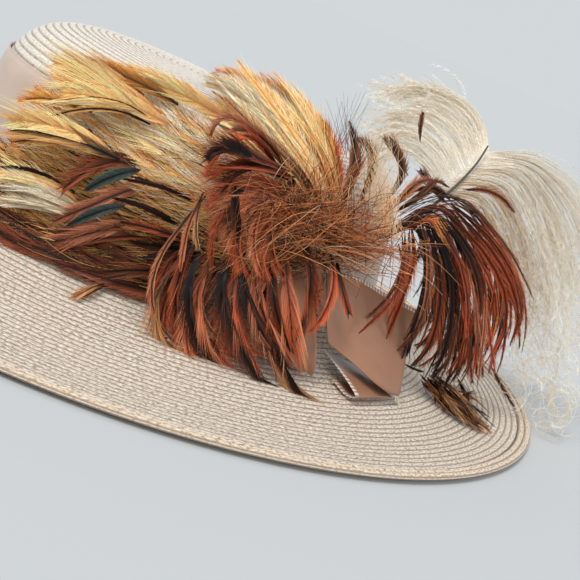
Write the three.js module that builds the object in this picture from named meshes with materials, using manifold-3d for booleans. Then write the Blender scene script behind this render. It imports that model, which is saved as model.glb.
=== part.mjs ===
// A wide-brimmed straw hat, sewn from rows of plaited braid and trimmed on the wearer's left with a satin bow,
// hackle feathers and an ostrich plume. Millimetres, +Z up, -Y the wearer's front, +X the wearer's left.
// The hat rests on its brim at z = 0.
import * as THREE from "three";
import { mergeVertices } from "three/addons/utils/BufferGeometryUtils.js";
import Module from "manifold-3d";

const wasm = await Module();
wasm.setup();

// Driving dimensions, in millimetres and degrees
const GAP = 0.3; // clearance between pieces that touch on the real hat
const FEATHER_EDGE = 2; // thickness of a mass of feathers at its outline
const STRAW = 1.6; // wall of sewn braid
const EDGE_STRAW = 2.6; // the doubled braid along the brim's edge
const SATIN = 1.0; // ribbon, with the air between its folds
const CROWN_HALF_WIDTH = 92;
const CROWN_HALF_LENGTH = 106;
const CROWN_DEPTH = 78; // from the brim to the top
const CROWN_SQUARENESS = 4.6; // exponent of the crown's side profile: 2 is an ellipse
const CROWN_TILT = 4; // the top slopes down to the back
const CROWN_LEAN = -4; // the top sits this far forward of the foot
const BRIM_WIDTH = 112.5; // along the straw, from the crown to the edge
const BRIM_SLOPE_AT_CROWN = 26.3; // downwards
const BRIM_SLOPE_AT_EDGE = -8.2; // turned up again
const BRIM_EDGE_WIDTH = 7; // of the heavier double row
const BRIM_REST = { from: 0.72, to: 0.8 }; // shares of the width between which the brim lies level
const BRIM_FORWARD = -8; // the brim is this much deeper in front than behind
const BAND_FOOT = 1.5; // the satin band starts this far above the crown's foot
const BAND_TOP = 74; // height of the satin band's upper edge
const BAND_AIR = 0.55; // between the band and the straw
const BAND_BULGE = 0.6; // of the band between its edges
const BAND_TUCK = 2.4; // the trimming stands this far off the crown, over the band
const BURST_CENTRE = { x: 84, y: 50, z: 58 };
const BURST_RADII = { x: 18, y: 36, z: 25 };
const KNOT_CENTRE = { x: 94, y: 40, z: 44 };
const KNOT_RADII = { x: 5, y: 10, z: 7 };
const QUILL_RADIUS = 1.4;

// How finely the forms are faceted
const ROUND_STEPS = 52;
const CROWN_STEPS = 9;
const BAND_STEPS = 5;
const PAD_STEPS = [14, 8];
const QUILL_STEPS = { steps: 12, curveSegments: 4 };
const BRIM_SHARES = [0, 0.14, 0.28, 0.42, 0.57, 0.72, 0.8]; // where the brim is faceted, 0 at the crown

const MEAN_RADIUS = (CROWN_HALF_WIDTH + CROWN_HALF_LENGTH) / 2;
const radians = THREE.MathUtils.degToRad;

// The brim's upper face, from the crown outwards: how far out and how much lower, by summing its slope
const BRIM_SUM_STEPS = 200;
const brimPath = [{ out: 0, drop: 0 }];
for (let i = 0; i < BRIM_SUM_STEPS; i++) {
  const share = (i + 0.5) / BRIM_SUM_STEPS;
  const slope = radians(THREE.MathUtils.lerp(BRIM_SLOPE_AT_CROWN, BRIM_SLOPE_AT_EDGE, share));
  const last = brimPath[i];
  const step = BRIM_WIDTH / BRIM_SUM_STEPS;
  brimPath.push({ out: last.out + step * Math.cos(slope), drop: last.drop + step * Math.sin(slope) });
}
const BRIM_OUT = brimPath[BRIM_SUM_STEPS].out;
const LOWEST_DROP = Math.max(...brimPath.map((point) => point.drop));
const CROWN_FOOT = STRAW + LOWEST_DROP; // height where the crown meets the brim
const CROWN_TOP = CROWN_FOOT + CROWN_DEPTH;

// Height of the brim's upper face at a distance along the straw, 0 at the crown and 1 at the edge
function brimAt(share) {
  const point = brimPath[Math.round(THREE.MathUtils.clamp(share, 0, 1) * BRIM_SUM_STEPS)];
  const level = share >= BRIM_REST.from && share <= BRIM_REST.to;
  return { out: point.out, z: CROWN_FOOT - (level ? LOWEST_DROP : point.drop) };
}

// Round coordinates to the hat's oval: inside the crown's foot the oval shrinks, outside it keeps its distance
function oval(radius, angle, z) {
  const spread = Math.min(radius / MEAN_RADIUS, 1);
  const x = Math.cos(angle) * (radius + (CROWN_HALF_WIDTH - MEAN_RADIUS) * spread);
  const y = Math.sin(angle) * (radius + (CROWN_HALF_LENGTH - MEAN_RADIUS) * spread);
  return new THREE.Vector3(x, y, z);
}

// The same, with the crown's lean and tilt above its foot and the brim's forward shift outside it
function onHat(radius, angle, z) {
  const point = oval(radius, angle, z);
  const height = THREE.MathUtils.clamp((z - CROWN_FOOT) / CROWN_DEPTH, 0, 1);
  const outward = THREE.MathUtils.clamp((radius - MEAN_RADIUS) / BRIM_OUT, 0, 1);
  point.z -= height * Math.tan(radians(CROWN_TILT)) * point.y;
  point.y += height * CROWN_LEAN + (1 - height) * outward * BRIM_FORWARD;
  return point;
}

// Turns a profile of [radius, z] pairs, which starts and ends on the axis or closes on itself, round the hat
function turned(profile, steps = ROUND_STEPS) {
  const points = profile.map(([radius, z]) => new THREE.Vector2(radius, z));
  return moved(new THREE.LatheGeometry(points, steps), (x, y, z) => onHat(Math.hypot(x, z), Math.atan2(-z, x), y));
}

function moved(geometry, place) {
  const position = geometry.getAttribute("position");
  for (let i = 0; i < position.count; i++) {
    const point = place(position.getX(i), position.getY(i), position.getZ(i));
    position.setXYZ(i, point.x, point.y, point.z);
  }
  return geometry;
}

// A closed three.js geometry as a solid, with its faces pointing out
function solidOf(geometry) {
  const bare = new THREE.BufferGeometry().setAttribute("position", geometry.getAttribute("position"));
  bare.setIndex(geometry.index);
  const merged = mergeVertices(bare, 1e-3);
  const make = (triVerts) =>
    new wasm.Manifold(new wasm.Mesh({ numProp: 3, vertProperties: merged.attributes.position.array, triVerts }));
  const corners = [...merged.index.array];
  const solid = make(new Uint32Array(corners));
  return solid.volume() > 0 ? solid : make(new Uint32Array(corners.reverse()));
}

function geometryOf(solid) {
  const { vertProperties, triVerts, numProp } = solid.getMesh();
  const positions = new Float32Array((vertProperties.length / numProp) * 3);
  for (let i = 0; i < positions.length / 3; i++)
    positions.set(vertProperties.subarray(i * numProp, i * numProp + 3), i * 3);
  const geometry = new THREE.BufferGeometry();
  geometry.setAttribute("position", new THREE.BufferAttribute(positions, 3));
  geometry.setIndex(new THREE.BufferAttribute(new Uint32Array(triVerts), 1));
  return geometry;
}

// Points of the crown's side profile from the foot to the axis, set in by a wall thickness or out by a margin
function crownProfile(inset) {
  const profile = [];
  for (let i = 0; i <= CROWN_STEPS; i++) {
    const turn = (i / CROWN_STEPS) * (Math.PI / 2);
    const [across, up] = [Math.cos(turn), Math.sin(turn)];
    const reach = (across ** CROWN_SQUARENESS + up ** CROWN_SQUARENESS) ** (-1 / CROWN_SQUARENESS);
    const radius = i === CROWN_STEPS ? 0 : (MEAN_RADIUS - inset) * across * reach;
    profile.push([radius, CROWN_FOOT + (CROWN_DEPTH - inset) * up * reach]);
  }
  return profile;
}

// Radius of the crown's outside at a height
function crownRadius(z) {
  const up = THREE.MathUtils.clamp((z - CROWN_FOOT) / CROWN_DEPTH, 0, 0.999);
  return MEAN_RADIUS * (1 - up ** CROWN_SQUARENESS) ** (1 / CROWN_SQUARENESS);
}

function crownShell() {
  return turned([...crownProfile(0).reverse(), ...crownProfile(STRAW)]);
}

// A stretch of the brim as a closed ring through some shares of its width, thickened about its middle
function brimRing(shares, wall, inset = 0) {
  const lift = (wall - STRAW) / 2;
  const upper = shares.map((share) => {
    const { out, z } = brimAt(share);
    return [MEAN_RADIUS + out + (share === shares[0] ? inset : 0), z + lift];
  });
  const lower = upper.map(([radius, z]) => [radius, z - wall]);
  return turned([...upper, ...lower.reverse(), upper[0]]);
}

// The hat's outer form, solid below and raised by a margin: whatever lies on the hat is cut back to it
const ENVELOPE_BASE = -20;
function hatEnvelope(raise) {
  const top = crownProfile(-raise).reverse();
  const brim = [...BRIM_SHARES.slice(1), 1].map((share) => {
    const { out, z } = brimAt(share);
    return [MEAN_RADIUS + raise + out, z + raise];
  });
  return turned([...top, ...brim, [MEAN_RADIUS + raise + BRIM_OUT, ENVELOPE_BASE], [0, ENVELOPE_BASE]]);
}

function bandShell() {
  const outside = [];
  const inside = [];
  for (let i = 0; i <= BAND_STEPS; i++) {
    const z = THREE.MathUtils.lerp(CROWN_FOOT + BAND_FOOT, BAND_TOP, i / BAND_STEPS);
    const bulge = BAND_BULGE * Math.sin((Math.PI * i) / BAND_STEPS);
    inside.push([crownRadius(z) + BAND_AIR, z]);
    outside.push([crownRadius(z) + BAND_AIR + SATIN + bulge, z]);
  }
  return turned([...outside, ...inside.reverse(), outside[0]]);
}

// A closed form round a curved sheet. Each column of points runs from root to tip and the columns stand side by
// side; thickness(u, v) is the form's depth there, and margin swells it on every side.
const NUDGE = 0.02; // share of a curve over which its direction is taken
function sheetForm(columns, [stepsAlong, stepsAcross], thickness, margin = 0) {
  const curves = columns.map((column) => new THREE.CatmullRomCurve3(column.map(([x, y, z]) => new THREE.Vector3(x, y, z))));
  const across = (u) => new THREE.CatmullRomCurve3(curves.map((curve) => curve.getPoint(u)));
  const surface = (u, v) => across(u).getPoint(v);
  return moved(new THREE.BoxGeometry(1, 1, 1, stepsAlong, stepsAcross, 1), (x, y, z) => {
    const [u, v] = [x + 0.5, y + 0.5];
    const [u0, u1] = [Math.max(u - NUDGE, 0), Math.min(u + NUDGE, 1)];
    const [v0, v1] = [Math.max(v - NUDGE, 0), Math.min(v + NUDGE, 1)];
    const along = surface(u1, v).sub(surface(u0, v)).normalize();
    const aside = surface(u, v1).sub(surface(u, v0)).normalize();
    const normal = along.clone().cross(aside).normalize();
    const point = surface(u, v);
    point.addScaledVector(normal, Math.sign(z) * (thickness(u, v) / 2 + margin));
    point.addScaledVector(along, margin * edgeSign(u));
    return point.addScaledVector(aside, margin * edgeSign(v));
  });
}

function edgeSign(share) {
  if (share < 0.001) return -1;
  return share > 0.999 ? 1 : 0;
}

// Thickness of a mass of feathers: thin at its outline, full in the middle
function feathered(full, edge = FEATHER_EDGE) {
  return (u, v) => edge + (full - edge) * Math.sqrt(Math.max(Math.sin(Math.PI * u) * Math.sin(Math.PI * v), 0));
}

const ribbonThickness = () => SATIN;

// The pad of golden hackles over the crown's trimmed side: rows from the brim up to the crown's shoulder
const PAD_FRONT = -67; // degrees round the hat, 0 at the wearer's left
const PAD_BACK = 14;
const PAD_TIP = { share: 0.45, narrowing: 0.35 }; // the front end closes in to a rounded tip
const PAD_SWELL = { edge: 0.35, from: 0.02, to: 0.85 }; // how full the pad is along its length
const PAD_ROWS = [
  { height: 0, inner: 17, outer: 23, low: 14.2, high: 17 },
  { height: 0.25, inner: 5, outer: 16, low: 27, high: 31 },
  { height: 0.5, inner: BAND_TUCK, outer: 13, low: 45, high: 46 },
  { height: 0.75, inner: 0.9, outer: 9, low: 62, high: 64 },
  { height: 1, inner: -7, outer: 0, low: 80, high: 84 },
];

function padForm(margin) {
  const curveOf = (radiusKey, heightKey) =>
    new THREE.CatmullRomCurve3(PAD_ROWS.map((row) => new THREE.Vector3(row[radiusKey], 0, row[heightKey])));
  const inner = curveOf("inner", "low");
  const outer = curveOf("outer", "high");
  return moved(new THREE.BoxGeometry(1, 1, 1, ...PAD_STEPS, 1), (x, y, z) => {
    const [u, v] = [x + 0.5, y + 0.5];
    const narrow = 1 - PAD_TIP.narrowing * Math.max(0, 1 - u / PAD_TIP.share) ** 2;
    const height = 0.5 + (v - 0.5) * narrow;
    const full = Math.sqrt(Math.sin(Math.PI * THREE.MathUtils.clamp(u, PAD_SWELL.from, PAD_SWELL.to)));
    const swell = THREE.MathUtils.lerp(PAD_SWELL.edge, 1, full);
    const foot = inner.getPoint(height);
    const face = outer.getPoint(height);
    const at = z < 0 ? foot : foot.clone().lerp(face, swell);
    const side = Math.sign(z) * margin;
    const angle = radians(THREE.MathUtils.lerp(PAD_FRONT, PAD_BACK, u)) + (edgeSign(u) * margin) / MEAN_RADIUS;
    return onHat(MEAN_RADIUS + at.x + side, angle, at.z + edgeSign(v) * margin);
  });
}

// Feather masses and ribbons as columns of [x, y, z] points, from root to tip
const RUST_SPRAY_FRONT = [
  [[87, 26, 67], [97, 4, 82], [106, -15, 85], [114, -27, 67], [122, -28, 38], [133, -25, 14]],
  [[89, 30, 68], [105, 8, 82], [118, -9, 83], [130, -12, 62], [139, -5, 34], [147, 3, 13]],
  [[90, 36, 66], [106, 20, 74], [120, 12, 68], [130, 18, 47], [134, 30, 26], [140, 41, 13]],
];
const RUST_SPRAY_BACK = [
  [[86, 66, 62], [78, 85, 80], [83, 96, 76], [88, 103, 55], [87, 107, 36], [82, 108, 22]],
  [[82, 69, 68], [75, 93, 89], [85, 110, 78], [93, 121, 53], [95, 127, 31], [93, 129, 17]],
  [[78, 70, 73], [67, 103, 94], [76, 130, 83], [86, 145, 64], [89, 149, 46], [87, 147, 29]],
];
const GOLD_SPRAY = [
  [[94, 38, 66], [93, 22, 81], [87, 3, 90], [78, -15, 96], [69, -25, 99]],
  [[92, 43, 70], [89, 28, 90], [81, 14, 101], [69, 1, 107], [57, -12, 109]],
  [[88, 48, 70], [82, 37, 91], [72, 29, 103], [61, 21, 110], [50, 14, 112]],
];
const PLUME_TOP = [
  [[60, 91, 79], [53, 99, 90], [47, 107, 101], [41, 115, 110], [36, 122, 117], [31, 129, 123]],
  [[38, 89, 80], [28, 88, 90], [20, 91, 106], [16, 98, 119], [16, 108, 128], [21, 121, 130]],
  [[27, 80, 80], [14, 74, 97], [2, 75, 115], [0, 86, 131], [3, 102, 139], [13, 119, 137]],
];
const PLUME_FALL = [
  [[52, 101, 92], [46, 124, 99], [48, 145, 85], [55, 162, 62], [63, 179, 37], [72, 196, 10]],
  [[43, 113, 107], [42, 139, 113], [47, 166, 100], [54, 186, 76], [63, 202, 45], [73, 216, 10]],
  [[34, 126, 120], [36, 151, 126], [42, 187, 114], [50, 212, 89], [60, 228, 57], [69, 232, 24]],
];
const QUILL_ROUTE = [[84, 62, 64], [72, 76, 70], [60, 91, 79], [52, 101, 92], [43, 113, 107], [31, 130, 124]];
const BRIM_TUFT = [
  [[70, 126, 7.5], [82, 131, 6], [93, 141, 4.5], [104, 155, 3]],
  [[66, 131, 7.5], [76, 139, 6], [89, 149, 4.5], [102, 159, 3]],
];
// Ribbons as two edges of [x, y, z] points, the upper edge first
const BOW_LOOP_FRONT = [
  [[97, 26, 45], [107, 24, 41], [118, 22, 31], [124, 24, 20], [123, 27, 11.5], [115, 29, 12.5]],
  [[98, 41, 46], [109, 42, 41], [120, 45, 30], [126, 48, 19], [124, 50, 10.5], [115, 49, 12.5]],
];
const BOW_LOOP_BACK = [
  [[96, 47, 50], [95, 60, 51], [92, 75, 48], [88, 91, 45], [84, 102, 43], [79, 99, 42], [79, 84, 43]],
  [[115, 54, 24], [118, 66, 20], [119, 80, 14], [115, 91, 10], [110, 98, 9], [104, 94, 10], [103, 82, 14]],
];
const BOW_LOOP_UNDER = [
  [[107, 57, 18], [116, 62, 16], [123, 67, 13], [128.5, 71, 9], [124, 68, 6.7], [116, 63, 9]],
  [[101, 77, 13.5], [106, 84, 11.6], [109, 90, 10], [113, 95, 8.2], [109, 92, 6.9], [104, 88, 8.6]],
];

function ellipsoid(centre, radii, margin, steps) {
  const ball = new THREE.SphereGeometry(1, ...steps);
  return moved(ball, (x, y, z) => ({
    x: centre.x + x * (radii.x + margin),
    y: centre.y + y * (radii.y + margin),
    z: centre.z + z * (radii.z + margin),
  }));
}

function quillForm(margin) {
  const points = QUILL_ROUTE.map(([x, y, z]) => new THREE.Vector3(x, y, z));
  const backwards = points[0].clone().sub(points[1]).normalize();
  points[0].addScaledVector(backwards, margin);
  const route = new THREE.CatmullRomCurve3(points);
  const section = new THREE.Shape();
  section.absarc(0, 0, QUILL_RADIUS + margin, 0, 2 * Math.PI);
  return new THREE.ExtrudeGeometry(section, { ...QUILL_STEPS, bevelEnabled: false, extrudePath: route });
}

// Finishes
const looks = {
  straw: { color: 0xe6d8c6, roughness: 0.6, metalness: 0 },
  edgeStraw: { color: 0xecdcba, roughness: 0.55, metalness: 0 },
  satin: { color: 0xb89a86, roughness: 0.35, metalness: 0 },
  golden: { color: 0xb9873f, roughness: 0.7, metalness: 0 },
  rust: { color: 0x7c3a22, roughness: 0.6, metalness: 0 },
  amber: { color: 0xc98a3a, roughness: 0.65, metalness: 0 },
  brown: { color: 0x8a5c36, roughness: 0.7, metalness: 0 },
  cream: { color: 0xe3d6bd, roughness: 0.85, metalness: 0 },
  quill: { color: 0x4d4742, roughness: 0.5, metalness: 0 },
};

const hat = new THREE.Group();
const swollen = new Map(); // each form raised by the gap, to cut later pieces back

// Adds a piece: its form, cut back from the envelope of the hat and from the pieces named, largest part kept
function addPiece(name, look, form, { cutBy = [], raise = 0 } = {}) {
  let solid = solidOf(form(0));
  if (raise) solid = solid.subtract(solidOf(hatEnvelope(raise)));
  for (const other of cutBy) solid = solid.subtract(swollen.get(other));
  const parts = solid.decompose().sort((a, b) => b.volume() - a.volume());
  swollen.set(name, solidOf(form(GAP)));
  const mesh = new THREE.Mesh(geometryOf(parts[0]), new THREE.MeshStandardMaterial(looks[look]));
  mesh.name = name;
  hat.add(mesh);
}

// Straw
const EDGE_SHARE = 1 - BRIM_EDGE_WIDTH / BRIM_WIDTH;
const EDGE_GAP_SHARE = GAP / BRIM_WIDTH;
addPiece("crown", "straw", crownShell);
addPiece("brim", "straw", () => brimRing([...BRIM_SHARES, EDGE_SHARE - EDGE_GAP_SHARE], STRAW, GAP));
addPiece("brim_edge", "edgeStraw", () => brimRing([EDGE_SHARE, (EDGE_SHARE + 1) / 2, 1], EDGE_STRAW));

// Satin
addPiece("hat_band", "satin", bandShell);
addPiece("bow_loop_under", "satin", (margin) => sheetForm(BOW_LOOP_UNDER, [12, 3], ribbonThickness, margin), {
  raise: GAP,
});
addPiece("bow_loop_back", "satin", (margin) => sheetForm(BOW_LOOP_BACK, [14, 4], ribbonThickness, margin), {
  cutBy: ["bow_loop_under"],
  raise: GAP,
});
addPiece("bow_loop_front", "satin", (margin) => sheetForm(BOW_LOOP_FRONT, [12, 3], ribbonThickness, margin), {
  cutBy: ["bow_loop_under", "bow_loop_back"],
  raise: GAP,
});
addPiece("bow_knot", "satin", (margin) => ellipsoid(KNOT_CENTRE, KNOT_RADII, margin, [10, 8]), {
  cutBy: ["bow_loop_front", "bow_loop_back"],
  raise: BAND_TUCK,
});

// Feathers
addPiece("hackle_pad", "golden", padForm, { cutBy: ["bow_loop_front", "bow_knot"], raise: BAND_TUCK });
addPiece("plume_quill", "quill", quillForm);
addPiece("filament_burst", "brown", (margin) => ellipsoid(BURST_CENTRE, BURST_RADII, margin, [18, 10]), {
  cutBy: ["hackle_pad", "bow_loop_front", "bow_loop_back", "bow_knot", "plume_quill"],
  raise: BAND_TUCK,
});
addPiece("gold_spray", "amber", (margin) => sheetForm(GOLD_SPRAY, [10, 6], feathered(9), margin), {
  cutBy: ["hackle_pad", "filament_burst"],
  raise: BAND_TUCK,
});
addPiece("rust_spray_front", "rust", (margin) => sheetForm(RUST_SPRAY_FRONT, [12, 6], feathered(10), margin), {
  cutBy: ["hackle_pad", "filament_burst", "bow_loop_front", "gold_spray"],
  raise: BAND_TUCK,
});
addPiece("rust_spray_back", "rust", (margin) => sheetForm(RUST_SPRAY_BACK, [12, 6], feathered(10), margin), {
  cutBy: ["filament_burst", "bow_loop_back", "plume_quill"],
  raise: BAND_TUCK,
});
addPiece("ostrich_plume_top", "cream", (margin) => sheetForm(PLUME_TOP, [10, 6], feathered(16, 3), margin), {
  cutBy: ["plume_quill", "filament_burst", "rust_spray_back"],
  raise: BAND_TUCK,
});
addPiece("ostrich_plume_fall", "cream", (margin) => sheetForm(PLUME_FALL, [12, 6], feathered(18, 3), margin), {
  cutBy: ["plume_quill", "ostrich_plume_top", "rust_spray_back"],
  raise: BAND_TUCK,
});
addPiece("brim_tuft", "brown", (margin) => sheetForm(BRIM_TUFT, [6, 3], feathered(5, 1.5), margin), { raise: GAP });

// The origin is the middle of the whole hat's bounding box, at the surface that it rests on
const box = new THREE.Box3().setFromObject(hat);
hat.position.set(-(box.min.x + box.max.x) / 2, -(box.min.y + box.max.y) / 2, -box.min.z);

export default hat;
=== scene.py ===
import math

import bmesh
import bpy
import numpy as np
from bpy.props import FloatProperty, FloatVectorProperty, IntProperty, PointerProperty
from bpy.types import Operator, Panel, PropertyGroup
from mathutils import Matrix, Vector


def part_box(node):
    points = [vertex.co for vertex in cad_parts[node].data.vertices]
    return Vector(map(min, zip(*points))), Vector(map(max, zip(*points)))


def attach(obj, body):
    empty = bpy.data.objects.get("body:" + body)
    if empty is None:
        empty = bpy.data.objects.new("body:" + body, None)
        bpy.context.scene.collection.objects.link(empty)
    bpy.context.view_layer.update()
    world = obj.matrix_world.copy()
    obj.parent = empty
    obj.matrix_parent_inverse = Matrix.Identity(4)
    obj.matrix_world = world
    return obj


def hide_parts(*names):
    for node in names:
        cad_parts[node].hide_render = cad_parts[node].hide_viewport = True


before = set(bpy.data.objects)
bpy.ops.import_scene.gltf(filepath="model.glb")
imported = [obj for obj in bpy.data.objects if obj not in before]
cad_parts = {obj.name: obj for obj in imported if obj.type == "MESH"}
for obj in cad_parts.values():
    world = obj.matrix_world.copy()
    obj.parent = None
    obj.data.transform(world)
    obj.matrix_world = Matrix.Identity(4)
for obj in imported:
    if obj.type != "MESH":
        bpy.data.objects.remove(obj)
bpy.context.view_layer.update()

bl_info = {
    "name": "Feathered Straw Hat",
    "version": (1, 0, 0),
    "blender": (4, 5, 0),
    "location": "3D View > Sidebar > Straw Hat",
    "description": "Builds a wide straw hat with its satin bow painted shade, hackle feathers and ostrich plume",
    "category": "Add Mesh",
}

MM = 0.001

# The hat's form, in millimetres and degrees. Its own frame has the crown's oval at its centre, and its z is 0
# on the surface that the brim rests on.
STRAW = 1.6
CROWN_HALF_WIDTH = 92.0
CROWN_HALF_LENGTH = 106.0
CROWN_DEPTH = 78.0
CROWN_SQUARENESS = 4.6
CROWN_TILT = 4.0
CROWN_LEAN = -4.0
BRIM_WIDTH = 112.5
BRIM_SLOPE_AT_CROWN = 26.3
BRIM_SLOPE_AT_EDGE = -8.2
BRIM_EDGE_WIDTH = 7.0
BRIM_FORWARD = -8.0
MEAN_RADIUS = (CROWN_HALF_WIDTH + CROWN_HALF_LENGTH) / 2
BAND_FOOT, BAND_TOP = 23.0, 75.0

# The brim's upper face from the crown outwards, by summing its slope
BRIM_SUM = 400
BRIM_SLOPES = np.radians(np.linspace(BRIM_SLOPE_AT_CROWN, BRIM_SLOPE_AT_EDGE, BRIM_SUM))
BRIM_ALONG = np.linspace(0, BRIM_WIDTH, BRIM_SUM + 1)
BRIM_OUTS = np.concatenate([[0], np.cumsum(np.cos(BRIM_SLOPES) * BRIM_WIDTH / BRIM_SUM)])
BRIM_DROPS = np.concatenate([[0], np.cumsum(np.sin(BRIM_SLOPES) * BRIM_WIDTH / BRIM_SUM)])
BRIM_OUT = BRIM_OUTS[-1]
CROWN_FOOT = STRAW + BRIM_DROPS.max()

EDGE_LOW, EDGE_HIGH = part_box("brim_edge")
HAT_CENTRE = Vector(((EDGE_LOW.x + EDGE_HIGH.x) / 2,
                     (EDGE_LOW.y + EDGE_HIGH.y) / 2 - BRIM_FORWARD * MM, 0))

# Rounds of guessing that find how far from the crown's axis a place on the brim or on the crown is
BRIM_GUESSES, CROWN_GUESSES = 4, 3
# The share of its height or radius at which the crown's outline is cut off, where it turns too steep
OUTLINE_END = 0.999
# How far feathers keep off the straw and off the band
STRAW_CLEAR = 0.5
BAND_CLEAR = 2.4


def on_hat(radius, angle, z):
    """Round coordinates to the hat's oval, with the crown's lean and tilt and the brim's forward shift"""
    radius, angle, z = np.broadcast_arrays(*[np.asarray(v, float) for v in (radius, angle, z)])
    spread = np.minimum(radius / MEAN_RADIUS, 1)
    x = np.cos(angle) * (radius + (CROWN_HALF_WIDTH - MEAN_RADIUS) * spread)
    y = np.sin(angle) * (radius + (CROWN_HALF_LENGTH - MEAN_RADIUS) * spread)
    height = np.clip((z - CROWN_FOOT) / CROWN_DEPTH, 0, 1)
    outward = np.clip((radius - MEAN_RADIUS) / BRIM_OUT, 0, 1)
    up = z - height * math.tan(math.radians(CROWN_TILT)) * y
    return np.stack([x, y + height * CROWN_LEAN + (1 - height) * outward * BRIM_FORWARD, up], -1)


def brim_height(out):
    """Height of the brim's upper face at a distance outside the crown's foot"""
    return CROWN_FOOT - np.interp(out, BRIM_OUTS, BRIM_DROPS)


def brim_top(x, y):
    """Height of the brim's upper face at places of the hat's frame outside the crown"""
    radius = np.hypot(x, y)
    for _ in range(BRIM_GUESSES):
        outward = np.clip((radius - MEAN_RADIUS) / BRIM_OUT, 0, 1)
        across = x / (radius + CROWN_HALF_WIDTH - MEAN_RADIUS)
        along = (y - outward * BRIM_FORWARD) / (radius + CROWN_HALF_LENGTH - MEAN_RADIUS)
        radius = radius * np.hypot(across, along)
    out = np.clip(radius - MEAN_RADIUS, 0, BRIM_OUT)
    return np.where(radius < MEAN_RADIUS + BRIM_OUT, brim_height(out), 0)


def crown_radius(z):
    """The crown's outer radius at a height, before it is made oval"""
    up = np.clip((np.asarray(z, float) - CROWN_FOOT) / CROWN_DEPTH, 0, OUTLINE_END)
    return MEAN_RADIUS * (1 - up**CROWN_SQUARENESS) ** (1 / CROWN_SQUARENESS)


def off_hat(points):
    """Points of the hat's frame, where those inside the crown are moved out or up to its face, and those
    under the brim's upper face are moved up to it"""
    x, y, z = points.T
    level = z
    for _ in range(CROWN_GUESSES):
        height = np.clip((level - CROWN_FOOT) / CROWN_DEPTH, 0, 1)
        along = y - height * CROWN_LEAN
        level = z + height * math.tan(math.radians(CROWN_TILT)) * along
    radius = MEAN_RADIUS * np.hypot(x / CROWN_HALF_WIDTH, along / CROWN_HALF_LENGTH)
    wide = crown_radius(level) + np.where(level < BAND_TOP, BAND_CLEAR, STRAW_CLEAR)
    share = np.clip(radius / MEAN_RADIUS, 0, OUTLINE_END)
    roof = CROWN_FOOT + CROWN_DEPTH * (1 - share**CROWN_SQUARENESS) ** (1 / CROWN_SQUARENESS) + STRAW_CLEAR
    inside = (radius < wide) & (level < roof)
    aside = inside & (wide - radius < roof - level)
    spread = np.where(aside, wide / np.maximum(radius, 1), 1)
    z = np.where(inside & ~aside, z + roof - level, z)
    x, y = x * spread, along * spread + height * CROWN_LEAN
    return np.stack([x, y, np.maximum(z, brim_top(x, y) + STRAW_CLEAR)], -1)


def placed(points):
    """Points of the hat's own frame, in millimetres, as the row frame's metres"""
    return np.asarray(points, float) * MM + np.array(HAT_CENTRE)


# Shader maths

class Value:
    """An output of a shader node. A sum on it adds Math nodes to its material."""

    def __init__(self, shader, output):
        self.shader = shader
        self.output = output

    def math(self, operation, *values):
        inputs = dict(enumerate(values))
        return self.shader.node("ShaderNodeMath", {"operation": operation}, inputs)

    def __add__(self, other):
        return self.math("ADD", self, other)

    def __mul__(self, other):
        return self.math("MULTIPLY", self, other)

    def __sub__(self, other):
        return self.math("SUBTRACT", self, other)

    def __rsub__(self, other):
        return self.math("SUBTRACT", other, self)

    def __abs__(self):
        return self.math("ABSOLUTE", self)

    __radd__ = __add__
    __rmul__ = __mul__

    def fraction(self):
        return self.math("FRACT", self)

    def sine(self):
        return self.math("SINE", self)

    def rise(self, low, high):
        """Rises smoothly from 0 at low to 1 at high, or falls where low is the greater"""
        settings = {"interpolation_type": "SMOOTHSTEP"}
        return self.shader.node("ShaderNodeMapRange", settings, {0: self, 1: low, 2: high, 3: 0.0, 4: 1.0})


class Shader:
    """A material with one principled surface, whose other nodes are added one call at a time"""

    def __init__(self, name, constants):
        self.material = bpy.data.materials.new(name)
        self.material.use_nodes = True
        self.tree = self.material.node_tree
        self.surface = self.tree.nodes["Principled BSDF"]
        for socket, value in constants.items():
            self.surface.inputs[socket].default_value = value

    def node(self, kind, settings=None, inputs=None, output=0):
        made = self.tree.nodes.new(kind)
        for setting, value in (settings or {}).items():
            setattr(made, setting, value)
        for socket, value in (inputs or {}).items():
            if isinstance(value, Value):
                self.tree.links.new(value.output, made.inputs[socket])
            else:
                made.inputs[socket].default_value = value
        return Value(self, made.outputs[output])

    def feed(self, **values):
        for socket, value in values.items():
            self.tree.links.new(value.output, self.surface.inputs[socket.replace("_", " ")])

    def mix(self, share, first, second, blend="MIX"):
        """Mixes two colours, each a Value or a tuple of red, green and blue"""
        pair = [c if isinstance(c, Value) else (*c, 1.0) for c in (first, second)]
        settings = {"data_type": "RGBA", "blend_type": blend}
        return self.node("ShaderNodeMix", settings, {0: share, 6: pair[0], 7: pair[1]}, 2)

    def object_place(self):
        return self.node("ShaderNodeTexCoord", output="Object")

    def uv(self, name):
        """The two coordinates of a piece's own UV map"""
        both = self.node("ShaderNodeUVMap", {"uv_map": name})
        return [self.node("ShaderNodeSeparateXYZ", None, {0: both}, axis) for axis in (0, 1)]

    def colour_attribute(self, name):
        return self.node("ShaderNodeAttribute", {"attribute_name": name}, None, "Color")

    def noise(self, scale, detail, place=None):
        inputs = {"Vector": place or self.object_place(), "Scale": scale, "Detail": detail}
        return self.node("ShaderNodeTexNoise", None, inputs)

    def joined(self, x, y):
        return self.node("ShaderNodeCombineXYZ", None, {0: x, 1: y})

    def bump(self, height, distance, strength):
        inputs = {"Strength": strength, "Distance": distance, "Height": height}
        return self.node("ShaderNodeBump", None, inputs)


def toned(colour, by):
    return tuple(part * share for part, share in zip(colour, by))


def blended(first, second, share):
    return tuple(start + (end - start) * share for start, end in zip(first, second))


def linear(red, green, blue):
    """A colour in values from 0 to 255, as the eye names it, for a shader"""
    return np.array([(part / 255) ** 2.2 for part in (red, green, blue)])


# Meshes

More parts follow.
